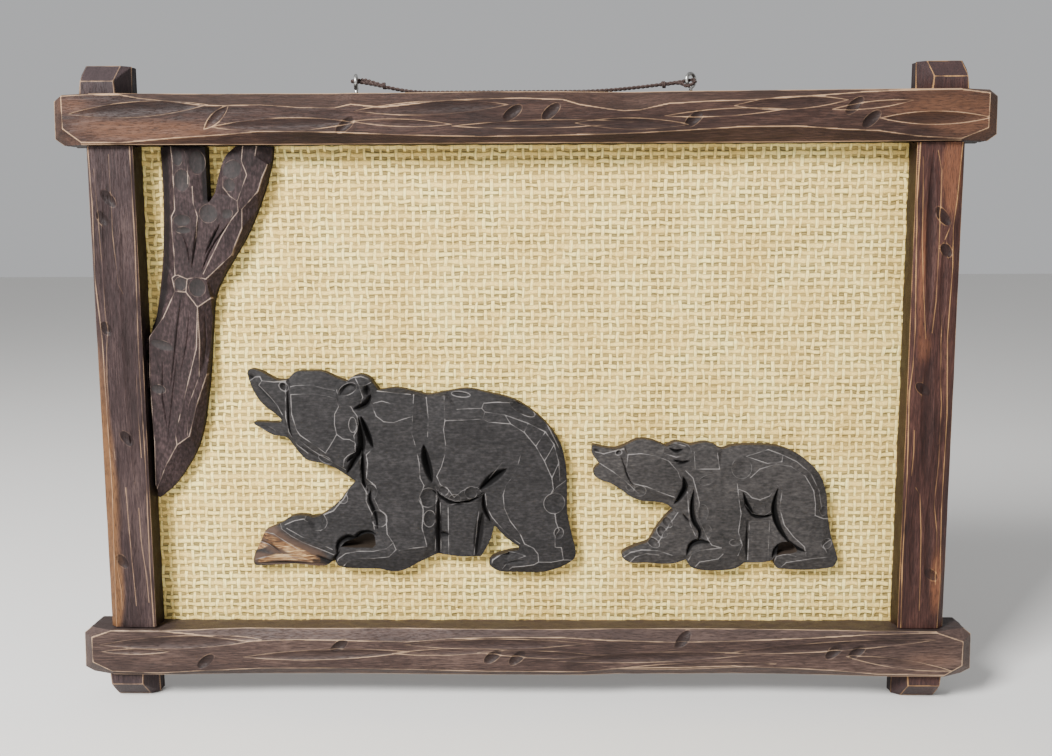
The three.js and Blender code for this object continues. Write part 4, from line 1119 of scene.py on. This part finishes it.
MOTHER_AT = [-145, -236]
MOTHER_OUTLINE = placed_at(MOTHER_AT, [
    [[0.6, 107.2], [2.2, 109.4], [7.6, 108.2], [14.7, 104.3], [19, 103.6], [22.3, 104.6], [26.1, 107.9],
     [34.7, 108.3], [40.5, 107.9], [49, 104.1], [52.6, 102.8]],
    [[52.6, 102.8], [55.6, 105.3], [59.7, 106.6], [64.4, 104.9], [67, 101.2], [69.4, 98.2]],
    [[69.4, 98.2], [78.3, 99.3], [88.3, 97.4], [95, 95.8], [105, 97.5], [115.7, 98.8], [126.4, 96.6],
     [137.9, 93.7], [147.1, 88.7], [156.4, 80.6], [163.6, 70], [166.8, 57.2], [167.4, 44], [167.5, 32.5],
     [170, 20], [172, 10.5], [169.5, 6.2], [162.9, 2.7], [154.3, 0.4], [142, 0.4], [131.5, 0.9],
     [126.2, 4.6], [128, 8.6], [136.4, 11.5], [141.6, 12.2]],
    [[142.4, 14.2], [135, 19.6], [129.8, 25.4]],
    [[128.8, 25.2], [126.6, 17.5], [122, 9.2]],
    [[121, 8.9], [110, 8.9], [99, 10.6]],
    [[99, 10.6], [90, 6.4], [80.6, 1.5], [74, 0.7], [67, 2.1], [52.7, 2.4], [46.6, 3.4], [43.8, 6.4]],
    [[42.8, 6.2], [37, 3.5], [22, 4.6], [6.3, 3.8], [0.8, 4.4], [0.6, 8.6], [3.7, 15.5], [7.4, 23.2]],
    [[7.4, 23.2], [15, 26.5], [22.2, 30.7], [29.3, 31], [33, 29.9], [38, 31.8], [45.8, 37.7], [51.5, 45],
     [55.9, 49.7]],
    [[55.9, 49.7], [45.4, 56.8], [38.5, 59.4], [30.4, 61.4], [25.4, 66.8], [20.4, 73.2], [13.3, 74.6],
     [7, 78.2], [3.6, 80.2]],
    [[3.2, 81.4], [10, 81.2], [16.6, 80.9]],
    [[18, 82.4], [15.4, 85.2], [8.3, 90.9], [3.4, 98.2], [0.6, 107.2]],
])
MOTHER_GAP = placed_at(MOTHER_AT, [
    [[47.5, 14.6], [50.5, 17.6], [55, 18.6], [60, 21.2], [65, 21], [66.2, 15.6]],
    [[64.5, 14.2], [54, 14.3], [47.5, 14.6]],
])
MOTHER_ARRISES = [
    # nose, muzzle and forehead
    [(-142.8, -132.5, 6), (-140, -130.6, 6.6), (-137.4, -130.4, 7), (-136.4, -132.6, 7.3),
     (-138.3, -135, 7.2)],
    [(-138.3, -135, 7.2), (-133, -140.5, 7.5), (-128.5, -146, 7.5), (-126.3, -150.5, 7)],
    [(-136.4, -132.6, 7.3), (-130, -133.2, 7.8), (-124, -132.6, 8)],
    [(-124, -132.6, 8), (-124.2, -142, 8.2), (-124.4, -152, 8), (-123, -160, 7.6), (-119, -166.5, 7.4),
     (-113.6, -171, 6.8)],
    [(-121.4, -135.6, 8.2), (-118.5, -134.9, 8.3), (-110.5, -134.7, 8.3), (-104.5, -136.3, 8.3),
     (-98.5, -137.6, 8)],
    [(-97.6, -141.8, 9), (-102.5, -140.4, 9), (-110, -139.1, 9), (-121.2, -139.6, 9), (-121, -150, 9),
     (-118.8, -158, 9), (-117, -161, 9), (-108, -167.4, 9), (-104, -170.6, 8.8)],
    [(-118, -163.6, 8), (-112, -168.4, 8), (-107, -172, 7.4), (-101, -175.5, 7.4), (-94, -179.8, 6.8)],
    # ear, back of the cheek and neck
    [(-97.4, -137.4, 8), (-96.3, -142, 8.6), (-93.6, -145, 8.9), (-90, -146, 8.8), (-88.8, -148.4, 8.8),
     (-86.9, -151, 8.8), (-86.6, -155, 8.8), (-87.2, -158.6, 8.8), (-88.9, -161.4, 8.8), (-88.2, -166, 8.8),
     (-88.4, -170, 8.8), (-92.4, -172, 8.6), (-94.3, -174, 8.4), (-95, -178, 7.8)],
    [(-97.6, -141.8, 9), (-96.4, -146, 9), (-98.6, -150, 9), (-98.8, -155.4, 9), (-97.8, -160.6, 9),
     (-101, -166, 9), (-104, -170.6, 8.8)],
    [(-97.8, -160.6, 9), (-94.6, -163, 9), (-91, -163.4, 8.9), (-89, -164.6, 8.8)],
    [(-92.4, -133, 7.2), (-88.6, -130.8, 7.6), (-84.6, -130.4, 7.6), (-81, -131.8, 7.2)],
    [(-87.4, -131.6, 8), (-85.6, -134.8, 8.8), (-82.4, -134.9, 8.4), (-79.6, -133.6, 7.6)],
    [(-85.6, -134.8, 8.8), (-84.8, -138, 8.8), (-83.8, -141, 8.4), (-85, -144.4, 8.2)],
    # shoulder and near foreleg
    [(-76.4, -138, 7.2), (-66, -139.2, 7.8), (-59, -139.8, 7.8)],
    [(-79.4, -145, 8), (-77, -151, 8.8), (-73, -154, 9), (-68, -154.4, 9), (-63, -152.6, 9),
     (-58, -151.2, 9), (-57.4, -140, 7.8)],
    [(-78.4, -144.4, 8), (-74, -143.2, 8.2), (-69, -144.6, 8.4)],
    [(-79, -168, 8.8), (-82.6, -171.6, 8.8), (-82, -176, 9), (-82.8, -184, 9), (-78.2, -188, 9),
     (-77, -191, 9), (-78.8, -195, 9), (-76.5, -200.5, 9), (-73, -204, 9), (-72.5, -214, 9),
     (-69.4, -218.8, 9), (-68, -222.6, 8.8)],
    [(-86, -170, 6.6), (-86.4, -178, 6.6), (-86, -187, 6.6), (-83.4, -192, 6.8), (-83.6, -197, 6.8),
     (-80.4, -204, 6.8), (-79.6, -212, 6.6)],
    [(-58, -151.2, 9), (-58.6, -160, 9), (-56.4, -168, 9), (-55, -176, 9), (-54.6, -184, 9),
     (-52.6, -188, 8.8), (-55, -194, 8.8), (-53.2, -201, 9), (-54, -211, 9), (-52.4, -217, 9),
     (-51.6, -220.8, 9)],
    [(-46.4, -190, 6.6), (-46.8, -200, 6.4), (-47, -212, 6.4), (-47.6, -224, 6)],
    [(-66.4, -223, 9), (-60, -221.8, 9), (-51.6, -220.8, 9)],
    [(-100.6, -231.4, 6.2), (-99, -228, 7), (-95, -225, 7.6), (-88, -223.6, 8), (-80, -223.6, 8.2),
     (-73, -222, 8.6), (-69.4, -218.8, 9)],
    [(-96.2, -232, 6.6), (-94, -229.4, 7.5), (-89, -227.4, 8), (-80, -227.4, 8.2), (-72, -226.6, 8.4),
     (-68, -222.6, 8.8)],
    # far foreleg and paw
    [(-92.6, -188.6, 6.4), (-93, -191, 6.9), (-95.4, -195.6, 7), (-98, -198.4, 7), (-101, -202, 7),
     (-105.6, -203.8, 6.9)],
    [(-127, -209.6, 6.8), (-122, -207.4, 7.1), (-117, -206.4, 7.2), (-114.8, -208, 7.1)],
    [(-130, -208.6, 6.4), (-128.6, -211.8, 7.1), (-124, -215.4, 7.2), (-118, -218.8, 7.3),
     (-112, -221.4, 7.2), (-106, -223.8, 7), (-101.4, -226, 6.6)],
    [(-126, -211.4, 7.1), (-118, -216, 7.4), (-110, -219.2, 7.4), (-102, -223, 7)],
    # rock
    [(-138, -213.6, 6.2), (-133, -214.6, 6.8), (-127, -218.6, 6.8), (-121, -222.6, 6.7), (-113, -226.6, 6.5),
     (-105, -230, 6)],
    [(-141, -219, 5.8), (-136, -220.6, 6.5), (-130.6, -224.4, 6.5), (-127.4, -226.6, 6.2)],
    [(-143.6, -228.8, 5.6), (-138, -227.2, 6.3), (-127.4, -226.6, 6.4), (-118, -228.4, 6.1),
     (-110, -230.6, 5.8)],
    # back and rump
    [(-41.6, -140.4, 7.6), (-41.2, -153.5, 9), (-42, -158, 9), (-41, -166, 9), (-41.6, -172, 9),
     (-43.4, -178, 8.9), (-46, -183, 8.6)],
    [(-51, -141.4, 6.8), (-50, -152, 7.6), (-50.4, -162, 8.5)],
    [(-41.2, -153.5, 9), (-30, -153, 9), (-21.5, -152.6, 9), (-18.6, -154.2, 9), (-7, -155.2, 9),
     (0, -159.6, 9), (6, -167, 9), (10.5, -175, 9), (14.4, -184, 9), (15.2, -190, 9), (13.8, -192.6, 9)],
    [(-35, -147.6, 8.1), (-22, -147, 8.3), (-20.4, -149, 8.3), (-10, -150.6, 8.3), (2, -155, 8.2),
     (11, -159.6, 8), (15.6, -166.4, 7.8), (18, -176, 7.4), (18.6, -186, 7.2)],
    [(-20.4, -149, 8.3), (-21.5, -152.6, 9)], [(-10, -150.6, 8.3), (-7, -155.2, 9)],
    [(2, -155, 8.2), (0, -159.6, 9)], [(11, -159.6, 8), (6, -167, 9)],
    [(15.6, -166.4, 7.8), (10.5, -175, 9)], [(18, -176, 7.4), (14.4, -184, 9)],
    [(-22, -147, 8.3), (-21, -144.4, 7.8), (-14, -144, 7.7), (-6, -144.4, 7.3)],
    [(11.6, -154.6, 6.8), (13.2, -158.4, 7.2), (18.4, -169, 6.6)],
    [(21.6, -186, 6), (17, -189, 7.8), (13.8, -192.6, 9)],
    [(16, -203.4, 8.8), (16.6, -208, 8.8), (18.2, -212, 8.6), (16, -215.6, 8.8), (16, -221.2, 8.6),
     (19.4, -221.6, 8.2), (20.4, -228.4, 7.6)],
    # belly and far hind leg
    [(-46, -183, 8.6), (-44, -187.5, 8.8), (-40, -190, 8.8), (-37, -194.5, 8.6), (-33, -191, 8.8),
     (-28, -188.5, 8.8), (-24.6, -189, 8.8), (-22.6, -191.4, 8.4)],
    [(-47, -190, 6.8), (-41.6, -194.6, 7), (-36.6, -197, 7), (-30, -196.4, 7), (-24, -194.4, 7),
     (-21.6, -192.8, 7)],
    [(-44.6, -198, 5), (-44.6, -225, 4.8)],
    [(-40.4, -199, 6), (-40.4, -226, 5.8)],
    [(-40.4, -199, 6), (-23.4, -197.6, 6), (-25, -208, 6), (-27, -226.4, 5.8)],
    # thigh, hind leg and foot
    [(-2, -171.6, 9), (-3.6, -178, 9), (-6, -183, 9), (-9.6, -187.6, 9), (-11.2, -193, 9), (-10.6, -200, 9),
     (-7.6, -207, 9), (-2.6, -213.6, 9), (0, -219.4, 9), (4.6, -221.6, 9), (7, -224.8, 9),
     (7.3, -229.4, 8.4)],
    [(-9.4, -173.2, 8.9), (-14, -178.6, 8.8), (-18.6, -184.8, 8.6)],
    [(-20.6, -192.6, 7.6), (-20, -199.4, 7.4), (-17.4, -205, 7.4), (-13, -210.4, 7.2), (-8, -215.6, 7.2),
     (-2.6, -219.6, 7.6)],
    [(-17.6, -231.4, 5.8), (-17, -228.8, 6.8), (-13, -225.8, 7.5), (-9, -224.6, 7.7), (-4, -225, 7.8),
     (0.6, -226.2, 8)],
    [(-12, -233.8, 6.2), (-9.4, -230.2, 7.4), (-6, -228.6, 7.8), (0.6, -226.2, 8)],
    [(-8.4, -234.2, 6.2), (-6.6, -232.4, 7.5), (-2, -232, 7.9), (4.6, -231, 8.2), (7.3, -229.4, 8.4),
     (14, -229.6, 8), (20.4, -228.4, 7.6), (24.6, -229, 6)],
]
# Knife cuts: path, width, depth.
MOTHER_CUTS = [
    ([(-122.7, -135.6), (-122.9, -146), (-122.7, -157), (-121, -163.6)], 1.7, 1.5),
    ([(-139.6, -133.6), (-134.4, -140), (-128, -146.4)], 4.2, 1.1),
    ([(-143.2, -129.6), (-140.4, -132.4)], 3.6, 1.3),
    ([(-117, -167.2), (-111, -171.6), (-104, -175.4)], 2, 0.8), ([(-82, -134.8), (-81.4, -140)], 4.4, 2.4),
    ([(-79.6, -140), (-82.6, -145), (-88.6, -147.4)], 4, 3.2),
    ([(-85, -151.4), (-82.4, -158.6), (-79, -167.6)], 3.6, 4.4),
    ([(-86.4, -152), (-85.2, -160), (-85, -167), (-88.6, -173.6), (-93.4, -182)], 4.6, 4.2),
    ([(-93, -175.6), (-89.6, -172.4), (-86, -169.6)], 3, 2.4),
    ([(-84.6, -170), (-85, -178), (-84.6, -187), (-82.4, -191.4)], 3.2, 3.6),
    ([(-80.6, -189), (-81.4, -196), (-79, -203), (-77.6, -212)], 3, 2.6),
    ([(-99.6, -226), (-98.6, -219.6), (-94, -216.4), (-90, -217), (-87, -214.4), (-82, -213.6),
      (-78.6, -215)], 3.8, 3.4),
    ([(-52.6, -166.4), (-51.2, -175), (-48.4, -186.4)], 5.2, 4.6),
    ([(-48.6, -190.6), (-43, -195.4), (-37.4, -198), (-31, -197.4), (-25, -195), (-20.8, -192)], 2.8, 3),
    ([(-23.6, -190.4), (-17, -184.4), (-9.4, -179.2)], 5.6, 4.4),
    ([(-21.4, -192.6), (-21.2, -200), (-18, -208)], 2.6, 3),
    ([(-45.4, -196), (-45.6, -210), (-45.4, -225.6)], 3.6, 2.6), ([(-46, -215), (-40, -215.4)], 4, 2.2),
    ([(-22, -203), (-24, -213), (-25.4, -226)], 5.6, 2.6),
    ([(-101.6, -232), (-101, -228), (-98, -224)], 2.2, 2),
    ([(-111, -226.4), (-105, -229.6), (-101.6, -230)], 3.4, 1.6),
    ([(-142, -231), (-128, -230.6), (-112, -231.4)], 2, 1.2),
    ([(-141, -218.6), (-134, -221.4), (-128.6, -226)], 2.4, 1),
    ([(-95.6, -140), (-93.4, -136.2), (-89.8, -135), (-87.2, -137.4)], 1.9, 1.6),
    ([(-13, -225.8), (-6, -224.8), (0, -226)], 1.6, 1), ([(-11, -231.4), (-7, -229.8), (0, -229)], 2.2, 0.9),
]
MOTHER_OVALS = [
    (-124.9, -135.6, 5.4, 4, -40, 2.2), (-91.6, -137, 10, 5.6, 24, 2.2), (-76.8, -206, 9, 9, 0, 1.3),
    (-50.6, -194.6, 9.6, 10.4, 0, 1.1), (15.6, -197.6, 11, 11, 0, 1.2), (-36.6, -195.4, 6.4, 5.4, 0, 1.1),
    (-28.2, -192, 6.4, 7, 0, 1.1), (-42.6, -191, 5.4, 5.6, -30, 0.9), (-50.2, -206, 6, 9, 0, 0.8),
    (-80.4, -191, 6, 8, 20, 1), (-110.4, -207.6, 12, 10, -20, 0.6), (-97, -194, 6, 9, 40, 0.8),
    (-33, -140, 10, 2.8, -6, 1), (-1, -147.6, 15, 5, -30, 1), (18, -213.6, 5, 6, 0, 0.9),
    (-104.5, -174.4, 8, 4, -28, 0.7), (-89.4, -155.6, 4, 8, 0, 0.6), (-134.6, -158, 9, 2.4, -24, 0.6),
]

bear_wood = blacked_wood("black_stained_bear", "X", [(0.34, "#131212"), (0.5, "#242222"), (0.68, "#393636")],
                         "#8f8a88", "#31281f")
mother = carve("carved_mother_bear", MOTHER_OUTLINE, MOTHER_ARRISES, GLUED_AT, bear_wood, "bear_wood",
               cuts=MOTHER_CUTS, ovals=MOTHER_OVALS, holes=[MOTHER_GAP], waves=0.12,
               rims=[6, 6.4, 5.6, 6.4, 5, 5.4, 5.6, 5, 5.4, 5.8, 5.4, 5.6])
strokes(mother, "bare", [
    ([(-139.6, -214.6), (-133, -218), (-124, -222.6), (-113, -228)], 2.6, 1.0),
    ([(-142, -222), (-136, -219), (-130, -221)], 2, 0.8),
    ([(-141, -229.6), (-132, -227.4), (-120, -227.8), (-110, -229.4)], 1.7, 1.0),
])
strokes(mother, "rock", [
    ([(-137, -215), (-128, -222), (-112, -229)], 8, 1.0), ([(-142, -228), (-112, -231)], 4, 1.0),
])
# painted shade in the deep cuts between the limbs, under the ear and by the paw on the rock
strokes(mother, "painted_shade", [
    ([(-46, -192), (-45.4, -226)], 2, 0.9), ([(-22.4, -196), (-24, -212), (-25.6, -226)], 2.6, 0.8),
    ([(-86, -156), (-87, -170), (-93, -180)], 2.6, 0.6), ([(-81.4, -136), (-81, -142), (-86, -147)], 2, 0.7),
    ([(-112, -229.4), (-102, -230.4)], 1.6, 0.9), ([(-84, -172), (-84, -188)], 1.6, 0.6),
])
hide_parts("mother_bear")

# ---- Bear cub --------------------------------------------------------------
# The cub is cut the same way as its mother, from a thinner stain, so that it is a shade lighter.

CUB_AT = [35, -235]
CUB_OUTLINE = placed_at(CUB_AT, [
    [[0.3, 66.8], [0.9, 68], [5.2, 67], [12.4, 66.2], [17.4, 67.8], [24.1, 70.9], [31.3, 70.5], [38, 67.8],
     [39.3, 67.3]],
    [[39.3, 67.3], [44.1, 69.8], [50.5, 68.3], [52, 68]],
    [[52, 68], [59.1, 69.4], [64, 68.2], [68.4, 65.9], [74, 67.5], [84, 68], [96.3, 67.3], [105.2, 64.4],
     [113, 59.4], [119.7, 52], [123.3, 42], [124.4, 30], [126.6, 18.6], [129.6, 9.5], [130.2, 6.4],
     [128, 2.6], [122, 1.3], [113, 0.7], [104, 1.1], [98.6, 1.8], [97, 4.6], [97.4, 8]],
    [[96, 6], [91, 4.7], [81.2, 4.5]],
    [[81.2, 4.5], [76.3, 1.4], [69, 0.4], [60, 0.4], [53.8, 1.8], [51.2, 4.6], [50.6, 6.2]],
    [[50, 6.2], [44.7, 4.2], [38, 3.8], [29.7, 4.4], [21.3, 4.4], [16.8, 7.2], [17.4, 10.4], [24.7, 13.8],
     [29.4, 15.4], [31.2, 17]],
    [[31.2, 17], [34.8, 23.4], [40, 30], [43.4, 33]],
    [[43.4, 33], [39.7, 36.4], [33.8, 37.7], [27.2, 38.2], [21.3, 40.2], [15.2, 44.5], [10.2, 47.6],
     [5, 49.4], [1.6, 51.9], [1.2, 54.2], [2.6, 56.4]],
    [[4.6, 57.8], [2.6, 60.2], [0.4, 63.6], [0.3, 66.8]],
])
CUB_GAP = placed_at(CUB_AT, [
    [[97.8, 9], [100, 16.2], [105, 15.8], [108, 11.2], [97.8, 9]],
])
CUB_ARRISES = [
    [(37, -170.6, 6.2), (41.6, -171.4, 7.2), (47, -169.8, 7.8), (52, -168.6, 8)],
    [(39.4, -176.6, 6.6), (46, -180.6, 7.4), (52.6, -185.6, 7.6), (60, -193, 7)],
    [(54, -171.6, 8.6), (61, -171, 8.8), (68, -172.2, 8.9), (75, -174.8, 8.9), (80, -180.4, 8.8),
     (82, -186, 8.4)],
    [(54, -171.6, 8.6), (53.2, -180, 8.6), (57, -187, 8.6), (64, -188.6, 8.6), (72, -192, 8.6),
     (78.6, -194.4, 8.2)],
    [(74, -167, 7.2), (79, -166, 7.4), (84, -167.4, 7.2)],
    [(73, -171, 8.4), (79, -173, 8.6), (85.6, -172, 7.8)],
    [(88.6, -170.4, 7.6), (89, -179.2, 8.8), (101.7, -179.2, 9), (100.6, -171, 7.8)],
    [(117.8, -183.8, 9), (122.5, -179.2, 9), (130.9, -176.6, 9), (138.6, -177.7, 9), (146.3, -183, 9),
     (150.9, -190.8, 9), (152, -198, 9), (152, -204, 8.8)],
    [(134, -175.4, 8.6), (126.3, -176.2, 8.8), (115.5, -172.6, 8), (127, -169.2, 7.4), (134.6, -172, 7.6),
     (142, -175.6, 7.7), (149.4, -181.8, 7.6), (154, -191, 7.4), (156, -202, 7)],
    [(134, -175.4, 8.6), (134.6, -172, 7.6)],
    [(84, -180, 8.6), (88, -184, 8.6), (90, -191, 8.8), (91.4, -197, 9), (90.8, -205, 9), (93.6, -211, 9),
     (96.4, -217, 9), (98.4, -220, 8.8), (103.6, -221.6, 8.6)],
    [(85.4, -192, 6.8), (86, -200, 6.8), (87, -209, 6.8), (90, -215.4, 6.4)],
    [(111, -187, 9), (112, -195, 9), (113.4, -203, 9), (112.2, -213, 9), (114.4, -220, 8.8),
     (112.4, -226, 7.8)],
    [(86.6, -229, 6), (88, -225.6, 7.2), (92, -223.2, 8), (98, -222.2, 8.4), (103.6, -221.6, 8.6)],
    [(90.4, -232.4, 6.2), (92.2, -229.6, 7.5), (97, -228.6, 8.1), (102, -227.6, 8.3), (104.4, -225, 8.4)],
    [(80.6, -203, 6.8), (76.6, -209, 6.8), (73.6, -214, 6.8), (70.4, -219.4, 6.8)],
    [(52.6, -227.2, 5.8), (56, -224.6, 6.6), (62, -223.2, 6.8), (70.4, -223.6, 6.8), (78, -226.2, 6.6)],
    [(56, -230, 5.8), (58.4, -227.2, 6.5), (64, -225.2, 6.8), (71, -226, 6.8)],
    [(112, -190, 8.8), (116, -191.6, 8.8), (119, -194.6, 8.8), (123, -195.6, 8.8), (128, -193.6, 8.8),
     (130.4, -190, 8.8)],
    [(116, -199, 7), (120, -204, 7), (126, -204.6, 7), (129.6, -202, 7)],
    [(118.4, -208, 5.8), (129, -207.6, 5.8), (128.6, -229, 5.6)],
    [(118.4, -208, 5.8), (118, -229, 5.6)],
    [(131.6, -187.6, 9), (134.4, -191, 9), (133.4, -200, 9), (136, -209, 9), (141, -215.4, 9),
     (147, -221, 8.8), (148, -226, 8.4)],
    [(131.4, -230.4, 5.8), (133, -226.6, 7), (138, -225, 7.6), (143, -226.4, 7.8)],
    [(135.6, -232.6, 6.2), (138, -229.8, 7.4), (145, -228.6, 7.8), (152, -227.4, 8), (160, -227, 7.4)],
    [(152, -204, 8.8), (156.6, -206, 7.6), (159.4, -206.4, 6.4)],
    [(161, -218, 6.2), (157, -220.6, 8), (159.4, -225, 7.4)],
]
CUB_CUTS = [
    ([(50.4, -172.6), (52.4, -178), (54.4, -184), (57.4, -189)], 1.4, 1.1),
    ([(83, -183.4), (84.2, -189), (82, -194), (78.6, -198.4)], 4, 3.6),
    ([(77.6, -174.2), (82, -176), (86.6, -175)], 2.6, 2),
    ([(75.6, -168.6), (79.4, -170), (83, -168.8)], 2.6, 2.2),
    ([(88.8, -190.4), (88, -199), (89, -207), (92.4, -213.6), (91, -219.6)], 3, 3.2),
    ([(85.6, -226.4), (88, -220.6), (93, -218.4), (98, -219.2)], 3.6, 3),
    ([(83, -203.4), (87, -208.4)], 1.8, 1.2),
    ([(114.4, -191.6), (117, -199), (121, -204.6), (127, -205.2), (131.4, -203.6)], 3.2, 3.2),
    ([(132.4, -189.4), (130.8, -198), (132, -206), (135, -213), (139.4, -219)], 3.6, 3.6),
    ([(137, -216.4), (142, -221), (148, -224)], 2.6, 2.6),
    ([(131, -228), (133.4, -221.6), (137, -218.4)], 3, 2.8),
    ([(117.4, -207), (117, -218), (117.4, -229)], 2, 1.4), ([(36.4, -169), (39, -170.6)], 2.4, 1),
]
CUB_OVALS = [
    (79.6, -170.6, 15, 10.6, 4, 0.5),
    (49.2, -170.6, 3.4, 2.6, 20, 1.5), (60.4, -191.2, 6.6, 6, 0, 1), (75.2, -208.2, 6.4, 4.4, -52, 2.2),
    (72.6, -213.6, 6.8, 5, -54, 2.2), (68, -219.4, 7, 4.6, -34, 2), (93.4, -202.6, 5.6, 9, 0, 0.8),
    (94.4, -213.4, 7, 9.4, -20, 1), (110.6, -218.6, 6, 3.6, 0, 0.8), (157, -202, 4.6, 5, 0, 0.9),
    (158.8, -219.6, 6, 5.6, 0, 0.9), (122.6, -200, 6, 8, 0, 0.7), (113.2, -178.8, 10.4, 11, 0, 0.7),
    (55.6, -189.6, 5, 3.6, -30, 0.7), (95.4, -185, 9, 5, 20, 0.4),
]

cub_wood = blacked_wood("grey_black_stained_cub", "X",
                        [(0.34, "#1b1a19"), (0.5, "#302d2c"), (0.68, "#464240")],
                        "#8f8a88", "#372d25")
cub = carve("carved_bear_cub", CUB_OUTLINE, CUB_ARRISES, GLUED_AT, cub_wood, "bear_wood", cuts=CUB_CUTS,
            ovals=CUB_OVALS, holes=[CUB_GAP], rims=[6, 6.4, 5.8, 5.4, 5.8, 5.4, 5.6, 6, 5.8], waves=0.12,
            rim_line=0.6)
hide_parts("bear_cub")

# ---- Screw eyes ------------------------------------------------------------
# Two small screw eyes of bright zinc-plated steel wire, turned by hand into the top of the rail
# until the ring stops at a different angle on each side.

steel, place = new_material("zinc_plated_steel")
plating = add(steel, "TexNoise", {"Vector": place, "Scale": 1 / (1.111 * MM), "Detail": 3.0})
zinc = add(steel, "ValToRGB", [plating], [(0.35, "#8d8c89"), (0.65, "#c2c1bd")])
finish(steel, zinc, add(steel, "MapRange", [plating, 0, 1, 0.22, 0.42]), plating, 0.02 * MM, Metallic=1.0)

EYE = {"wire": 1.8, "ring": 3.2, "x": 84.5, "y": -7, "ring_z": 19.1, "open_at": -84, "bend": 338}
THREAD = {"radius": 0.62, "ridge": 0.42, "turns": 3, "rise": 0.115}


def screw_eye(node, side, turn):
    """Wire that rises from the rail, bends out of its own line and curls round into a ring."""
    stem = [(0, 0, rail_top - 0.2 - EYE["ring_z"]), (0, 0, -5.4), (0.15, 0, -4.4)]
    start, end = math.radians(EYE["open_at"]), math.radians(EYE["open_at"] + EYE["bend"])
    curl = [(EYE["ring"] * math.cos(start + (end - start) * i / 30), 0.55 * (i / 30 - 0.5),
             EYE["ring"] * math.sin(start + (end - start) * i / 30)) for i in range(31)]
    path = smooth(stem + curl, CURVE_STEP)
    wire = tube(path, EYE["wire"] / 2, 14)
    thread = [(THREAD["radius"] * math.cos(a), THREAD["radius"] * math.sin(a),
               rail_top - EYE["ring_z"] - 0.4 + a * THREAD["rise"])
              for a in np.linspace(0, 2 * math.pi * THREAD["turns"], 60)]
    ridge = tube(thread, THREAD["ridge"], 8)
    points, faces = joined([wire, ridge])
    x, y, z = np.asarray(points).T
    cos, sin = math.cos(turn), math.sin(turn)
    placed = np.c_[side * EYE["x"] + x * cos - y * sin, EYE["y"] + x * sin + y * cos, EYE["ring_z"] + z]
    eye = mesh_piece("wire_" + node, placed, faces, steel, "screw_eye")
    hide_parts(node)


screw_eye("screw_eye_left", -1, 1.72)
screw_eye("screw_eye_right", 1, 0.8)

# ---- Cord loops ------------------------------------------------------------
# Each end of the cord is passed through its ring, brought round the wire and laid back along
# the cord, where a small knot holds it.

LOOPS = {
    "left": [[-86.2, -7, 19.4], [-86.7, -4.6, 19.9], [-85.7, -2.3, 20.3], [-83.2, -2.4, 20.7],
             [-80.2, -4.4, 20.4], [-77, -5.6, 19.4], [-73.4, -6, 18.2], [-70.2, -6.1, 17.2]],
    "right": [[86.2, -7, 19.2], [86.4, -9.4, 17.9], [84.4, -11.1, 16.4], [82, -10.4, 15.9], [80.2, -8.9, 17],
              [77.6, -7.9, 17.6], [74, -7.7, 17.3], [70.8, -7.6, 16.8]],
}
for side, points in LOOPS.items():
    line = smooth(points, CURVE_STEP)
    x, y, z = line[-1]
    knot = [[x + 0.9 * (k / 20 - 1), y + 1.3 * math.cos(0.32 * k) - 0.4, z + 1.3 * math.sin(0.32 * k)]
            for k in range(40)]
    parts = two_ply(line) + [tube(knot, 0.5, 8)]
    mesh_piece("cord_loop_" + side, *joined(parts), cord_material, "cord", 60)
